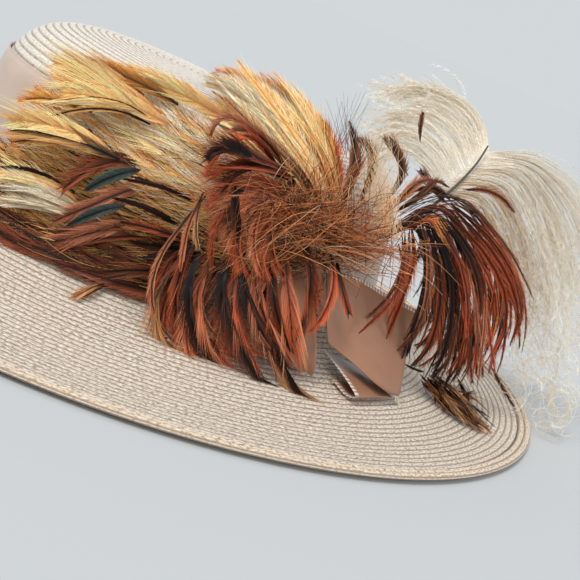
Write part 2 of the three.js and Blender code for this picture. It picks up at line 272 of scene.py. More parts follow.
def finished(name, mesh, node, material):
    mesh.materials.append(material)
    mesh.shade_smooth()
    piece = bpy.data.objects.new(name, mesh)
    bpy.context.scene.collection.objects.link(piece)
    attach(piece, "root")
    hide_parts(node)
    return piece


def mesh_from(shape, name):
    """A new mesh from a bmesh, which is then freed"""
    mesh = bpy.data.meshes.new(name)
    shape.to_mesh(mesh)
    shape.free()
    return mesh


SPIN_DOUBLINGS = 4
MERGE_GAP = 1e-4  # millimetres
ON_AXIS = 1e-5


def spun(name, profile, rows, steps):
    """Spins a closed profile of [radius, z] points round the crown's axis. rows says in which row of braid
    each point lies. A part of the turn is spun and then doubled, which is much quicker than a whole turn."""
    shape = bmesh.new()
    row_layer = shape.verts.layers.float.new("row")
    verts = []
    for (radius, z), row in zip(profile, rows):
        vert = shape.verts.new((radius, 0, z))
        vert[row_layer] = row
        verts.append(vert)
    edges = [shape.edges.new(pair) for pair in zip(verts, verts[1:] + verts[:1])]
    part = math.tau / 2**SPIN_DOUBLINGS
    bmesh.ops.spin(shape, geom=verts + edges, cent=(0, 0, 0), axis=(0, 0, 1), dvec=(0, 0, 0),
                   angle=part, steps=steps // 2**SPIN_DOUBLINGS, use_merge=False)
    for doubling in range(SPIN_DOUBLINGS):
        copied = bmesh.ops.duplicate(shape, geom=shape.verts[:] + shape.edges[:] + shape.faces[:])["geom"]
        turn = Matrix.Rotation(part * 2**doubling, 3, "Z")
        bmesh.ops.rotate(shape, cent=(0, 0, 0), matrix=turn,
                         verts=[item for item in copied if isinstance(item, bmesh.types.BMVert)])
    bmesh.ops.remove_doubles(shape, verts=shape.verts, dist=MERGE_GAP)
    bmesh.ops.recalc_face_normals(shape, faces=shape.faces)
    return mesh_from(shape, name)


STITCH = 1.9  # millimetres along a row of braid from one plait to the next


def warped(mesh):
    """Warps a spun mesh from the round to the hat's oval, after writing its braid map"""
    place = np.zeros(len(mesh.vertices) * 3)
    mesh.vertices.foreach_get("co", place)
    place = place.reshape(-1, 3)
    row = np.zeros(len(mesh.vertices))
    mesh.attributes["row"].data.foreach_get("value", row)
    radius, angle = np.hypot(place[:, 0], place[:, 1]), np.arctan2(place[:, 1], place[:, 0])
    corner = np.zeros(len(mesh.loops), int)
    mesh.loops.foreach_get("vertex_index", corner)
    totals = np.zeros(len(mesh.polygons), int)
    mesh.polygons.foreach_get("loop_total", totals)
    starts = np.concatenate([[0], np.cumsum(totals)[:-1]])
    face = np.repeat(np.arange(len(totals)), totals)
    on_axis = radius[corner] < ON_AXIS
    middle = np.angle(np.add.reduceat(np.exp(1j * angle[corner]) * ~on_axis, starts))
    away = (angle[corner] - middle[face] + math.pi) % math.tau - math.pi
    around = middle[face] + np.where(on_axis, 0, away)
    face_row = np.floor(np.add.reduceat(row[corner], starts) / totals)
    face_radius = np.add.reduceat(radius[corner], starts) / totals
    _, index, count = np.unique(face_row, return_inverse=True, return_counts=True)
    ring = (np.bincount(index, face_radius) / count)[index]
    stitches = np.maximum(np.round(math.tau * ring / STITCH), 3)
    braid = np.stack([around / math.tau * stitches[face], row[corner]], -1)
    mesh.uv_layers.new(name="braid").data.foreach_set("uv", braid.astype(np.float32).ravel())
    mesh.attributes.remove(mesh.attributes["row"])
    mesh.vertices.foreach_set("co", placed(on_hat(radius, angle, place[:, 2])).ravel())
    mesh.update()
    return mesh


# Rows of braid across their width: shares of the pitch, and how many millimetres the straw stands out there
ROW_PITCH = 3.4
ROW_PROFILE = ((0.0, -0.06), (0.20, 0.20), (0.66, 0.30))
INSIDE_PROFILE = ((0.0, 0.0),)
EDGE_PROFILE = ((0.0, -0.35), (0.2, 0.35), (0.5, 0.55), (0.8, 0.3))
EDGE_RIM_ROWS = (2.3, 2.6)
INNER_ROWS = 100  # the number of the first row on an inner or lower face
NEARBY = 0.3  # millimetres to each side of a point of a path, between which its direction is taken
# Steps round the hat
CROWN_STEPS, BRIM_STEPS, EDGE_STEPS = 448, 560, 640


def resampled(path, pitch, profile, lift):
    """Rows of braid along a path of [radius, z] points: points that stand off it, and the row of each"""
    path = np.asarray(path, float)
    along = np.concatenate([[0], np.cumsum(np.hypot(*np.diff(path, axis=0).T))])
    rows = max(round(along[-1] / pitch), 1)
    step = along[-1] / rows
    at = np.array([(k + share) * step for k in range(rows) for share, _ in profile] + [along[-1]])
    offs = np.array([off for _ in range(rows) for _, off in profile] + [profile[0][1]]) * lift
    near = [np.stack([np.interp(np.clip(at + d, 0, along[-1]), along, path[:, i]) for i in (0, 1)], -1)
            for d in (-NEARBY, NEARBY)]
    ahead = near[1] - near[0]
    ahead /= np.maximum(np.linalg.norm(ahead, axis=1, keepdims=True), 1e-9)
    outward = np.stack([ahead[:, 1], -ahead[:, 0]], -1)
    points = np.stack([np.interp(at, along, path[:, i]) for i in (0, 1)], -1) + outward * offs[:, None]
    return points, at / step


def crown_path(inset):
    turn = np.linspace(0, math.pi / 2, 400)
    across, up = np.cos(turn), np.sin(turn)
    reach = (across**CROWN_SQUARENESS + up**CROWN_SQUARENESS) ** (-1 / CROWN_SQUARENESS)
    radius = (MEAN_RADIUS - inset) * across * reach
    radius[-1] = 0
    return np.stack([radius, CROWN_FOOT + (CROWN_DEPTH - inset) * up * reach], -1)


def crown_mesh():
    outside, rows = resampled(crown_path(0.3), ROW_PITCH, ROW_PROFILE, 1)
    inside, inner_rows = resampled(crown_path(STRAW)[::-1], ROW_PITCH, INSIDE_PROFILE, 1)
    outside[-1, 0] = inside[0, 0] = 0
    foot = [[MEAN_RADIUS + 0.4, CROWN_FOOT - 0.1]]
    profile = np.concatenate([foot, outside, inside])
    numbers = np.concatenate([[0], rows, inner_rows + INNER_ROWS])
    return warped(spun("crown", profile, numbers, CROWN_STEPS))


def brim_path(start, end, steps):
    along = np.linspace(start, end, steps)
    out = np.interp(along, BRIM_ALONG, BRIM_OUTS)
    return np.stack([MEAN_RADIUS + out, brim_height(out)], -1)


def brim_mesh():
    path = brim_path(0.5, BRIM_WIDTH - BRIM_EDGE_WIDTH - 0.3, 300)
    upper, rows = resampled(path - [0, 0.2], ROW_PITCH, ROW_PROFILE, -1)
    lower, lower_rows = resampled((path - [0, STRAW - 0.1])[::-1], ROW_PITCH, INSIDE_PROFILE, -0.8)
    numbers = np.concatenate([rows, lower_rows + INNER_ROWS])
    return warped(spun("brim", np.concatenate([upper, lower]), numbers, BRIM_STEPS))


def edge_mesh():
    """The heavier double row: two ridges of thick braid above and below, closed round its rim"""
    path = brim_path(BRIM_WIDTH - BRIM_EDGE_WIDTH, BRIM_WIDTH - 0.2, 60)
    upper, rows = resampled(path + [0, 0.15], BRIM_EDGE_WIDTH / 2, EDGE_PROFILE, -1)
    lower, lower_rows = resampled((path - [0, STRAW])[::-1], BRIM_EDGE_WIDTH / 2, EDGE_PROFILE, -0.6)
    rim = [[upper[-1][0] + 0.35, upper[-1][1] - 0.5], [upper[-1][0] + 0.4, lower[0][1] + 0.5]]
    numbers = np.concatenate([rows, EDGE_RIM_ROWS, lower_rows + INNER_ROWS])
    return warped(spun("brim_edge", np.concatenate([upper, rim, lower]), numbers, EDGE_STEPS))


def straw_look(name, pale, deep, gap, golden, painted_glint):
    """Sewn braid: rows with a dark line between them, a narrow seam of darker straw in a wider soft band of
    painted shade in the groove. Each row is plaited, with flecks of paler and darker straw and near-white
    painted glints on the plaits' ridges"""
    shader = Shader(name, {"Roughness": 0.55, "Specular IOR Level": 0.45, "Sheen Weight": 0.12,
                           "Sheen Roughness": 0.5})
    along, row = shader.uv("braid")
    across = row.fraction()
    side = abs(across - 0.52)
    plait = ((along + side * 1.1) * math.tau).sine()
    # The dark line between rows: the seam's own colour, widened into a soft band of painted shade in the
    # groove
    line = across.rise(0.0, 0.34) * across.rise(1.0, 0.80)
    fleck = shader.noise(1.0, 2.0, shader.joined(along * 1.1, row * 4.0))
    grain = shader.noise(420.0, 1.0)
    patch = shader.noise(26.0, 3.0)
    tone = shader.mix(fleck.rise(0.36, 0.52), deep, pale)
    tone = shader.mix(patch.rise(0.35, 0.75) * 0.35, tone, golden)
    # Painted glints: the colour turns near-white on the plaits' ridges where the flecks are pale
    tone = shader.mix((plait * 0.4 + 0.6) * fleck.rise(0.50, 0.66) * painted_glint, tone, (1.0, 0.98, 0.94))
    gap_and_shade_tones = shader.mix(grain.rise(0.3, 0.7), blended(gap, deep, 0.3), blended(gap, deep, 0.7))
    shader.feed(Base_Color=shader.mix(line, gap_and_shade_tones, tone))
    height = line * 0.2 + plait * 0.14 * line + fleck * 0.45
    shader.feed(Normal=shader.bump(height, 0.0005, 0.8))
    shader.feed(Roughness=0.60 - fleck * 0.2)
    return shader.material


def make_straw(settings):
    pale, gap = tuple(settings.pale), tuple(settings.gap)
    golden = toned(pale, (0.94, 0.86, 0.76))
    deep = toned(pale, (0.52, 0.41, 0.33))
    # The crown's straw is the brim's straw painted lighter and bluer, with less contrast: painted light on
    # the hat's top
    painted_lit_pale = toned(pale, (1.10, 1.14, 1.20))
    # The last number given to each look is the strength of its painted glints
    straw = straw_look("sewn straw braid", pale, deep, gap, golden, 0.7)
    crown = straw_look("crown straw braid painted lighter", painted_lit_pale, toned(painted_lit_pale, (0.74, 0.68, 0.62)), gap, painted_lit_pale, 0.7)
    edge = straw_look("edge braid", toned(pale, (1.05, 0.98, 0.88)), deep, gap, golden, 0.5)
    finished("straw_crown", crown_mesh(), "crown", crown)
    finished("straw_brim", brim_mesh(), "brim", straw)
    finished("straw_brim_edge", edge_mesh(), "brim_edge", edge)


# Curves and sheets of points

def curved(before, first, second, after, share):
    """The smooth curve through four points, at a share of the way from the second to the third"""
    bend = 2 * before - 5 * first + 4 * second - after
    twist = 3 * first - before - 3 * second + after
    return first + share * ((second - before) + share * (bend + share * twist)) / 2


def spline(points, share):
    """Points of a smooth curve through points, whose first axis runs along it, at shares from 0 to 1"""
    points = np.asarray(points, float)
    last = len(points) - 1
    place = np.clip(np.asarray(share, float), 0, 1) * last
    index = np.clip(np.floor(place).astype(int), 0, last - 1)
    padded = np.concatenate([2 * points[:1] - points[1:2], points, 2 * points[-1:] - points[-2:-1]])
    part = (place - index).reshape(place.shape + (1,) * (points.ndim - 1))
    return curved(*(padded[index + k] for k in range(4)), part)


def sheet_points(columns, along, aside):
    """Points of a smooth sheet through columns of points, which lie side by side"""
    curves = spline(np.swapaxes(np.asarray(columns, float), 0, 1), along)
    last = curves.shape[-2] - 1
    place = np.clip(aside, 0, 1) * last
    index = np.clip(np.floor(place).astype(int), 0, last - 1)
    padded = np.concatenate([2 * curves[..., :1, :] - curves[..., 1:2, :], curves,
                             2 * curves[..., -1:, :] - curves[..., -2:-1, :]], -2)
    near = (np.take_along_axis(padded, (index + k)[..., None, None], -2)[..., 0, :] for k in range(4))
    return curved(*near, (place - index)[..., None])


def between(along, steps):
    """For shares along lines of points: the lines' numbers, the points before, and the part of a step past
    them"""
    flat = along.clip(0, 1) * (steps - 1)
    index = np.minimum(flat.astype(int), steps - 2)
    return np.arange(len(along))[:, None], index, (flat - index)[..., None]


def sheet_normals(columns, along, aside):
    near = 0.02
    ahead = sheet_points(columns, along + near, aside) - sheet_points(columns, along - near, aside)
    across = sheet_points(columns, along, aside + near) - sheet_points(columns, along, aside - near)
    return unit(np.cross(across, ahead))


def unit(vectors):
    return vectors / np.maximum(np.linalg.norm(vectors, axis=-1, keepdims=True), 1e-9)


# The view that the trimming is laid out in: a square that the camera sees, VIEW units wide, and the camera's
# place and axes in the hat's frame
VIEW = 580
CAMERA_AT = (541.6, -126.7, 154.3)
CAMERA_LOOKS = (-0.912, 0.332, -0.242)
CAMERA_UP = (-0.345, -0.299, 0.890)
CAMERA_LENS = 68.96
SENSOR = 36


def view_axes():
    looks = unit(np.array(CAMERA_LOOKS))
    side = unit(np.cross(looks, CAMERA_UP))
    return side, np.cross(side, looks), looks


def seen(places):
    """Points of the hat's frame at places in the view: [across, down, x], where x is how far to the wearer's
    left they lie"""
    places = np.asarray(places, float)
    side, up, looks = view_axes()
    reach = VIEW * CAMERA_LENS / SENSOR
    rays = looks + (side * (places[..., 0:1] - VIEW / 2) - up * (places[..., 1:2] - VIEW / 2)) / reach
    return np.array(CAMERA_AT) + rays * ((places[..., 2:] - CAMERA_AT[0]) / rays[..., :1])


# Feathers: each is a curved blade with a shaft and separate barbs along both sides

LINE_STEPS = 9  # points along most feathers and hairs
STRAND_TIP = 0.25  # a hair's radius at its tip, as a share of that at its root
ACROSS_STRANDS = (0.31, 0.52, 0.79)  # a direction that few hairs run in


class Plumage:
    """Gathers strips of points with a colour at each, which make one mesh of many feathers"""

    def __init__(self):
        self.points = []
        self.tints = []
        self.triangles = []
        self.count = 0

    def add(self, points, tints, triangles):
        self.points.append(points.reshape(-1, 3))
        self.tints.append(np.broadcast_to(tints, points.shape).reshape(-1, 3))
        self.triangles.append(triangles.reshape(-1, 3) + self.count)
        self.count += self.points[-1].shape[0]

    def strip(self, left, right, left_tints, right_tints, pointed=False):
        """A band between two lines of points each: arrays of (strips, steps, 3). A pointed one ends at one
        point."""
        strips, steps = left.shape[:2]
        points = np.stack([left, right], 2)
        tints = np.stack(np.broadcast_arrays(left_tints, right_tints), 2)
        k = np.arange(steps - 1)
        first = np.stack([2 * k, 2 * k + 1, 2 * k + 3], -1)
        second = np.stack([2 * k, 2 * k + 3, 2 * k + 2], -1)
        if pointed:
            second = second[:-1]
        faces = np.concatenate([first, second])
        offsets = (np.arange(strips) * steps * 2)[:, None, None]
        self.add(points, tints, faces[None] + offsets)

    def strands(self, lines, radius, tints):
        """Round hairs along lines, thinner towards the tip: three sides each"""
        strands, steps = lines.shape[:2]
        ahead = unit(np.gradient(lines, axis=1))
        side = unit(np.cross(ahead, ACROSS_STRANDS))
        rise = np.cross(ahead, side)
        taper = np.linspace(1, STRAND_TIP, steps)[None, :, None]
        size = np.broadcast_to(radius, (strands,))[:, None, None] * taper
        turns = [0, math.tau / 3, 2 * math.tau / 3]
        ring = [lines + size * (math.cos(turn) * side + math.sin(turn) * rise) for turn in turns]
        points = np.stack(ring, 2)
        row = np.arange(steps - 1)[:, None] * 3
        corner = np.arange(3)[None, :]
        other = (corner + 1) % 3
        faces = np.concatenate([np.stack([row + corner, row + other, row + 3 + other], -1),
                                np.stack([row + corner, row + 3 + other, row + 3 + corner], -1)])
        offsets = (np.arange(strands) * steps * 3)[:, None, None]
        every = np.broadcast_to(np.broadcast_to(tints, lines.shape)[..., None, :], points.shape)
        self.add(points, every, faces.reshape(1, -1, 3) + offsets)

    def piece(self, name, node, slot, material):
        points, tints = np.concatenate(self.points), np.concatenate(self.tints)
        points = off_hat(points)
        triangles = np.concatenate(self.triangles)
        mesh = bpy.data.meshes.new(name)
        mesh.vertices.add(len(points))
        mesh.vertices.foreach_set("co", placed(points).astype(np.float32).ravel())
        mesh.loops.add(triangles.size)
        mesh.loops.foreach_set("vertex_index", triangles.astype(np.int32).ravel())
        mesh.polygons.add(len(triangles))
        mesh.polygons.foreach_set("loop_start", np.arange(0, triangles.size, 3, dtype=np.int32))
        mesh.update(calc_edges=True)
        colour = np.concatenate([np.clip(tints, 0, 1), np.ones((len(tints), 1))], 1)
        layer = mesh.attributes.new("tint", "FLOAT_COLOR", "POINT")
        layer.data.foreach_set("color", colour.astype(np.float32).ravel())
        return finished(name, mesh, node, material)


# Colours of a feather at its root, vane, edge, tip and the streak along its shaft, then the streak's share of
# the width and its depth
FEATHER_COLOURS = {
    "gold": ((226, 164, 106), (255, 198, 126), (255, 224, 172), (250, 176, 104), (188, 124, 70), 0.08, 0.5),
    "cream": ((236, 214, 178), (248, 232, 200), (253, 243, 222), (244, 216, 168), (170, 124, 80),
              0.06, 0.45),
    "amber": ((150, 96, 52), (226, 142, 64), (242, 182, 104), (214, 108, 48), (60, 30, 17), 0.14, 0.8),
    "pencilled": ((52, 34, 24), (204, 136, 78), (244, 196, 124), (206, 140, 76), (20, 14, 11), 0.38, 1.0),
    "rust": ((86, 38, 24), (170, 69, 42), (202, 104, 68), (154, 68, 44), (36, 19, 14), 0.16, 0.85),
    "russet": ((98, 49, 31), (182, 86, 56), (222, 142, 104), (168, 82, 54), (46, 24, 18), 0.10, 0.85),
    "liver": ((62, 32, 22), (122, 58, 38), (158, 88, 58), (106, 50, 34), (34, 20, 15), 0.20, 0.9),
    "furnace": ((36, 22, 16), (90, 38, 24), (198, 98, 58), (44, 26, 20), (19, 13, 11), 0.82, 1.0),
    "black": ((34, 24, 20), (24, 17, 15), (92, 52, 36), (22, 16, 14), (12, 9, 8), 0.84, 1.0),
    "dipped": ((132, 64, 46), (110, 52, 38), (140, 70, 50), (13, 12, 14), (22, 16, 15), 0.30, 0.9),
    # Black feathers with a teal tint, strongest at the edges, which is painted green sheen
    "black_painted_sheen": ((34, 30, 28), (30, 34, 35), (74, 86, 80), (26, 38, 35), (12, 12, 14), 0.34, 0.8),
    "tan": ((34, 24, 20), (176, 120, 78), (204, 152, 106), (178, 122, 78), (40, 26, 20), 0.10, 0.8),
    "brown": ((46, 30, 24), (84, 48, 33), (138, 86, 58), (68, 40, 30), (23, 16, 14), 0.40, 0.9),
    "chestnut": ((88, 50, 36), (138, 76, 52), (198, 130, 98), (112, 60, 44), (46, 25, 20), 0.18, 0.9),
}
COLOUR_PARTS = ("root", "vane", "edge", "tip", "streak")
# Shares of a feather's length: where its root's colour ends, its tip's begins, and how far each fades
ROOT_END, ROOT_FADE = 0.30, 0.22
TIP_START, TIP_FADE = 0.66, 0.30


def feather_tints(kinds, chance, along, across):
    """Colours at shares along feathers, and across them from the shaft out. kinds and chance hold one for
    each feather."""
    names = list(FEATHER_COLOURS)
    rows = FEATHER_COLOURS.values()
    table = np.array([[linear(*colour) for colour in row[:5]] for row in rows])
    widths, depths = np.array([row[5:] for row in rows]).T
    index = np.array([names.index(kind) for kind in kinds])
    extra = (1,) * (along.ndim - 1)
    part = {part: table[index, k].reshape(len(index), *extra, 3) for k, part in enumerate(COLOUR_PARTS)}
    width, depth = (v[index].reshape(len(index), *extra) for v in (widths, depths))
    chance = chance.reshape(len(index), *extra)

    def blend(first, second, share):
        return first + (second - first) * np.clip(share, 0, 1)[..., None]

    colour = blend(part["vane"], part["edge"], across**1.3)
    colour = blend(colour, part["root"], (ROOT_END - along) / ROOT_FADE)
    colour = blend(colour, part["tip"], (along - TIP_START) / TIP_FADE)
    narrowing = width * (1.05 - 0.75 * along)
    streak = np.clip((narrowing - across) / np.maximum(0.5 * narrowing, 1e-3), 0, 1) * depth
    colour = blend(colour, part["streak"], streak)
    return colour * (0.82 + 0.5 * chance)[..., None]


# A vane is widest at this share of its length, and each of its sides rises by this share of its width
VANE_PEAK = 0.45
VANE_FOLD = 0.2
BARB_SHADES = (0.54, 1.42)


def add_feathers(plumage, rng, lines, normals, kinds, width, barbs, sweep, loose, barb_width, blade=0.45):
    """Adds feathers along lines, arrays of (feathers, steps, 3), whose vanes face normals. width is half the
    widest, and blade the share of it that is one whole vane under the barbs."""
    count, steps = lines.shape[:2]
    width = np.broadcast_to(width, (count,)).astype(float)
    chance = rng.uniform(0, 1, count)
    share = np.linspace(0, 1, steps)
    ahead = unit(np.gradient(lines, axis=1))
    facing = normals if normals.ndim == 3 else normals[:, None]
    side = unit(np.cross(ahead, np.broadcast_to(facing, lines.shape)))
    face = np.cross(side, ahead)
    power = math.log(0.5) / math.log(VANE_PEAK)

    def half_width(place):
        return np.sin(np.pi * np.clip(place, 0.001, 0.999) ** power) ** 0.75

    def tints(place, across):
        place = np.broadcast_to(place, (count, np.shape(place)[-1]))
        return feather_tints(kinds, chance, place, np.full(place.shape, across))

    reach = (half_width(share)[None] * width[:, None])[..., None]
    middle_tints, side_tints = tints(share, 0.0), tints(share, blade)
    left = lines - side * reach * blade + face * reach * VANE_FOLD * blade
    right = lines + side * reach * blade + face * reach * VANE_FOLD * blade
    plumage.strip(left, lines, side_tints, middle_tints)
    plumage.strip(lines, right, middle_tints, side_tints)
    shaft = 0.05 * reach.max() * (1.1 - share)[None, :, None] + 0.08
    lift = lines + face * 0.25
    shaft_tints = middle_tints * 0.75
    plumage.strip(lift - side * shaft, lift + side * shaft, shaft_tints, shaft_tints)

    along = np.linspace(0.05, 0.97, barbs)[None] + rng.uniform(-0.4, 0.4, (count, barbs)) / barbs
    rows, index, part = between(along, steps)
    root, forward, out, up = (values[rows, index] * (1 - part) + values[rows, index + 1] * part
                              for values in (lines, ahead, side, face))
    size = (half_width(along) * width[:, None])[..., None]
    for hand in (-1, 1):
        gather = np.sin(along * 23 + rng.uniform(0, math.tau, (count, 1)) + hand)[..., None] * loose
        jitter = rng.normal(0, loose, (count, barbs, 1))
        go = sweep * size * (1 + gather + jitter)
        end = root + forward * go + hand * out * size * (1 + jitter * 0.8) + up * size * (VANE_FOLD + jitter)
        middle = root + forward * go * 0.42 + hand * out * size * 0.58 + up * size * VANE_FOLD * 0.6
        line = np.stack([root, middle, end], 2)
        flank = np.cross(unit(end - root), up)[:, :, None] * (barb_width / 2)
        taper = np.array([1.0, 0.85, 0.05])[None, None, :, None]
        shades = np.stack([tints(along, across) for across in (0.05, 0.5, 1.0)], 2)
        shades = shades * rng.uniform(*BARB_SHADES, (count, barbs, 1, 1))
        shape = (count * barbs, 3, 3)
        plumage.strip((line - flank * taper).reshape(shape), (line + flank * taper).reshape(shape),
                      shades.reshape(shape), shades.reshape(shape), pointed=True)


STRAYING = 1.6  # the most that a feather bends or swings, as a share of the usual


def flowing(rng, columns, count, length, depth, curl, splay, aside=(0.0, 1.0)):
    """Lines of feathers that follow a mass from root to tip, with the mass's normals. length holds their
    least and greatest, they lie through the mass's depth, and curl and splay bend them towards their tips."""
    columns = np.asarray(columns, float)
    middle = spline(columns[len(columns) // 2], np.linspace(0, 1, 40))
    span = rng.uniform(*length, count) / np.linalg.norm(np.diff(middle, axis=0), axis=1).sum()
    low = rng.uniform(0, 1, count) * np.maximum(1 - span, 0)
    t = np.linspace(0, 1, LINE_STEPS)
    along = np.clip(low[:, None] + span[:, None] * t, 0, 1)
    place = rng.uniform(*aside, count)[:, None] + rng.normal(0, 0.05, (count, 1)) * t
    place = np.clip(place, 0, 1)
    normals = sheet_normals(columns, along, place)
    lines = sheet_points(columns, along, place)
    across = unit(np.cross(normals, np.gradient(lines, axis=1)))
    layer = rng.uniform(-0.5, 0.5, (count, 1, 1)) * depth
    t = t[None, :, None]
    bend = rng.normal(0, 1, (count, 1, 1)).clip(-STRAYING, STRAYING) * curl * t**2.2
    swing = rng.normal(0, 1, (count, 1, 1)).clip(-STRAYING, STRAYING) * splay * t**1.8
    return lines + normals * (layer + bend) + across * swing, normals


def add_traced(plumage, rng, feathers, copies, scatter=3.0, sink=0.0, **style):
    """Adds single feathers laid out one by one: a kind, half a width, and places in the view from root to
    tip.
    Each comes with a few narrower copies round it, and its root sinks among the other feathers."""
    looks = view_axes()[2]
    lines, kinds, widths = [], [], []
    for kind, width, places in feathers:
        t = np.linspace(0, 1, len(places))[:, None]
        for copy in range(copies + 1):
            shift = rng.normal(0, 1, (1, 3)) * 0.4 + rng.normal(0, 1, (1, 3)) * t
            shift = shift + rng.normal(0, 0.1, (len(places), 3))
            shift = (shift * [scatter, scatter, 1.2] - [0, 0, 2.5]) * (copy > 0)
            shift = shift - np.array([0, 0, sink]) * (1 - t) ** 2
            lines.append(spline(seen(np.array(places, float) + shift), np.linspace(0, 1, LINE_STEPS)))
            kinds.append(kind)
            widths.append(width * (1 if copy == 0 else rng.uniform(0.45, 0.8)))
    normals = unit(rng.normal(0, 0.3, (len(kinds), 3)) - looks)
    add_feathers(plumage, rng, np.array(lines), normals, kinds, np.array(widths), **style)


def picked(rng, count, weights):
    """Names drawn with their weights"""
    names, values = zip(*weights.items())
    return rng.choice(names, count, p=np.array(values) / sum(values))


def feather_look(name, gloss, sheen):
    shader = Shader(name, {"Roughness": gloss, "Specular IOR Level": 0.18, "Sheen Weight": sheen,
                           "Sheen Roughness": 0.35})
    tint = shader.colour_attribute("tint")
    streaks = shader.noise(1400.0, 2.0)
    bands = shader.mix(streaks, (0.66, 0.64, 0.62), (1.34, 1.32, 1.28))
    shader.feed(Base_Color=shader.mix(1.0, tint, bands, "MULTIPLY"))
    return shader.material


# The pad of golden hackles, which lies over the crown's trimmed side
PAD_FRONT, PAD_BACK = -67.0, 14.0
PAD_ROWS = 0.25  # shares of the pad's height between the rows of its section
PAD_INNER = ((17, 14.2), (5, 27), (2.4, 45), (0.9, 62), (-5, 80), (-18, 91))  # out from the foot, and up
PAD_OUTER = ((23, 17), (16, 31), (13, 46), (9, 64), (-1, 83), (-14, 95))
PAD_LENGTH = 135.0
PAD_LABELS = (-0.04, 1.28)  # shares of the pad's height that its feathers start from
PAD_END = 1.16  # the share along it that their roots stay before


def pad_point(along, height, depth):
    """A point of the pad: along it from the front end, up it, and through it from the straw out"""
    share = height / (PAD_ROWS * (len(PAD_INNER) - 1))
    foot, top = spline(PAD_INNER, share), spline(PAD_OUTER, share)
    swell = 0.35 + 0.65 * np.sqrt(np.sin(np.pi * np.clip(along, 0.02, 0.85)))
    at = foot + (top - foot) * (swell * depth)[..., None]
    angle = np.radians(PAD_FRONT + (PAD_BACK - PAD_FRONT) * along)
    return on_hat(MEAN_RADIUS + at[..., 0], angle, at[..., 1])


def pad_normal(along, height):
    inner, outer = (pad_point(along, height, np.full_like(along, d)) for d in (0.0, 1.0))
    return unit(outer - inner + np.array([1.0, 0, 0.4]))


# How far along the pad its frontmost tips lie, at shares of its height
PAD_TIPS = ((-0.1, 0.4, 0.5, 1.0, 1.28), (0.0, 0.0, 0.1, 0.12, 0.34))
# Kinds of feather by where in the pad their tips lie: least height, least share along, and weights
# The rows for tips at least 0.6 along, next to the burst, lean to black, brown and pencilled feathers, which
# partly stand for painted shade there
PAD_KINDS = (
    (1.05, 0.0, {"cream": 40, "gold": 35, "amber": 25}),
    (0.80, 0.0, {"gold": 60, "cream": 22, "amber": 12, "pencilled": 6}),
    (0.62, 0.6, {"pencilled": 60, "gold": 20, "amber": 10, "black": 10}),
    (0.58, 0.0, {"pencilled": 32, "cream": 22, "gold": 30, "amber": 16}),
    (0.08, 0.6, {"pencilled": 34, "black": 28, "brown": 22, "liver": 16}),
    (0.34, 0.0, {"pencilled": 56, "amber": 24, "gold": 12, "black": 8}),
    (0.12, 0.38, {"pencilled": 26, "liver": 36, "brown": 22, "black": 16}),
    (0.12, 0.0, {"cream": 20, "pencilled": 36, "liver": 22, "black": 10, "gold": 12}),
    (-1.0, 0.0, {"brown": 44, "liver": 34, "black": 22}),
)
# Two black feathers whose green sheen is painted into their colour
PAD_GLOSSY = (
    ("black_painted_sheen", 2.8, ((141, 170, 110), (124, 173, 110), (104, 180, 107), (84, 191, 102))),
    ("black_painted_sheen", 2.6, ((125, 206, 112), (108, 209, 111), (88, 216, 108), (66, 226, 102))),
)
PAD_TRACED = (
    ("chestnut", 4.2, ((168, 184, 99), (130, 190, 98), (90, 206, 95), (52, 222, 89))),
    ("liver", 4.2, ((145, 165, 99), (112, 162, 97), (85, 172, 94), (62, 190, 90))),
    ("chestnut", 4.2, ((165, 222, 103), (120, 226, 101), (78, 236, 97), (34, 246, 87))),
    ("liver", 4.2, ((185, 240, 106), (140, 236, 104), (90, 240, 99), (40, 252, 90))),
    ("pencilled", 1.6, ((150, 124, 100), (120, 111, 98), (82, 109, 92), (40, 119, 82))),
    ("pencilled", 6.0, ((120, 160, 102), (80, 142, 96), (40, 132, 86), (8, 130, 72))),
    ("gold", 6.0, ((110, 150, 101), (70, 130, 94), (35, 122, 84), (6, 118, 70))),
    ("gold", 6.5, ((170, 125, 98), (130, 104, 94), (95, 96, 88), (60, 92, 80))),
    ("gold", 6.5, ((160, 115, 96), (120, 92, 90), (90, 82, 84), (58, 80, 76))),
    ("amber", 4.4, ((178, 104, 90), (146, 86, 85), (114, 72, 78), (82, 64, 68))),
    ("gold", 5.5, ((140, 95, 88), (110, 76, 82), (82, 66, 74), (54, 63, 66))),
    ("gold", 5.4, ((225, 118, 92), (190, 98, 88), (155, 84, 80), (125, 78, 72))),
    ("amber", 3.0, ((90, 112, 92), (62, 102, 86), (40, 98, 80), (18, 101, 72))),
    ("cream", 5.0, ((90, 215, 100), (60, 198, 93), (30, 186, 85), (0, 178, 73))),
    ("gold", 5.0, ((80, 205, 98), (50, 185, 90), (20, 176, 80), (-8, 172, 67))),
    ("cream", 4.5, ((84, 222, 98), (54, 208, 92), (24, 200, 84), (-6, 196, 72))),
    ("black", 1.1, ((75, 192, 97), (48, 176, 90), (22, 168, 80), (-4, 167, 68))),
    ("tan", 2.0, ((104, 284, 115), (94, 287, 115), (84, 292, 115), (74, 298, 115))),
    ("black", 1.3, ((190, 232, 108), (165, 218, 105), (140, 206, 102), (112, 198, 99))),
    ("black", 2.2, ((215, 262, 113), (190, 252, 110), (160, 246, 107), (135, 243, 105))),
    ("black", 1.2, ((200, 205, 107), (170, 190, 104), (145, 183, 101), (118, 178, 99))),
    ("furnace", 2.4, ((205, 250, 112), (180, 238, 109), (150, 228, 105), (120, 222, 102))),
    ("brown", 2.6, ((196, 276, 116), (168, 272, 114), (136, 270, 112), (100, 272, 110))),
)


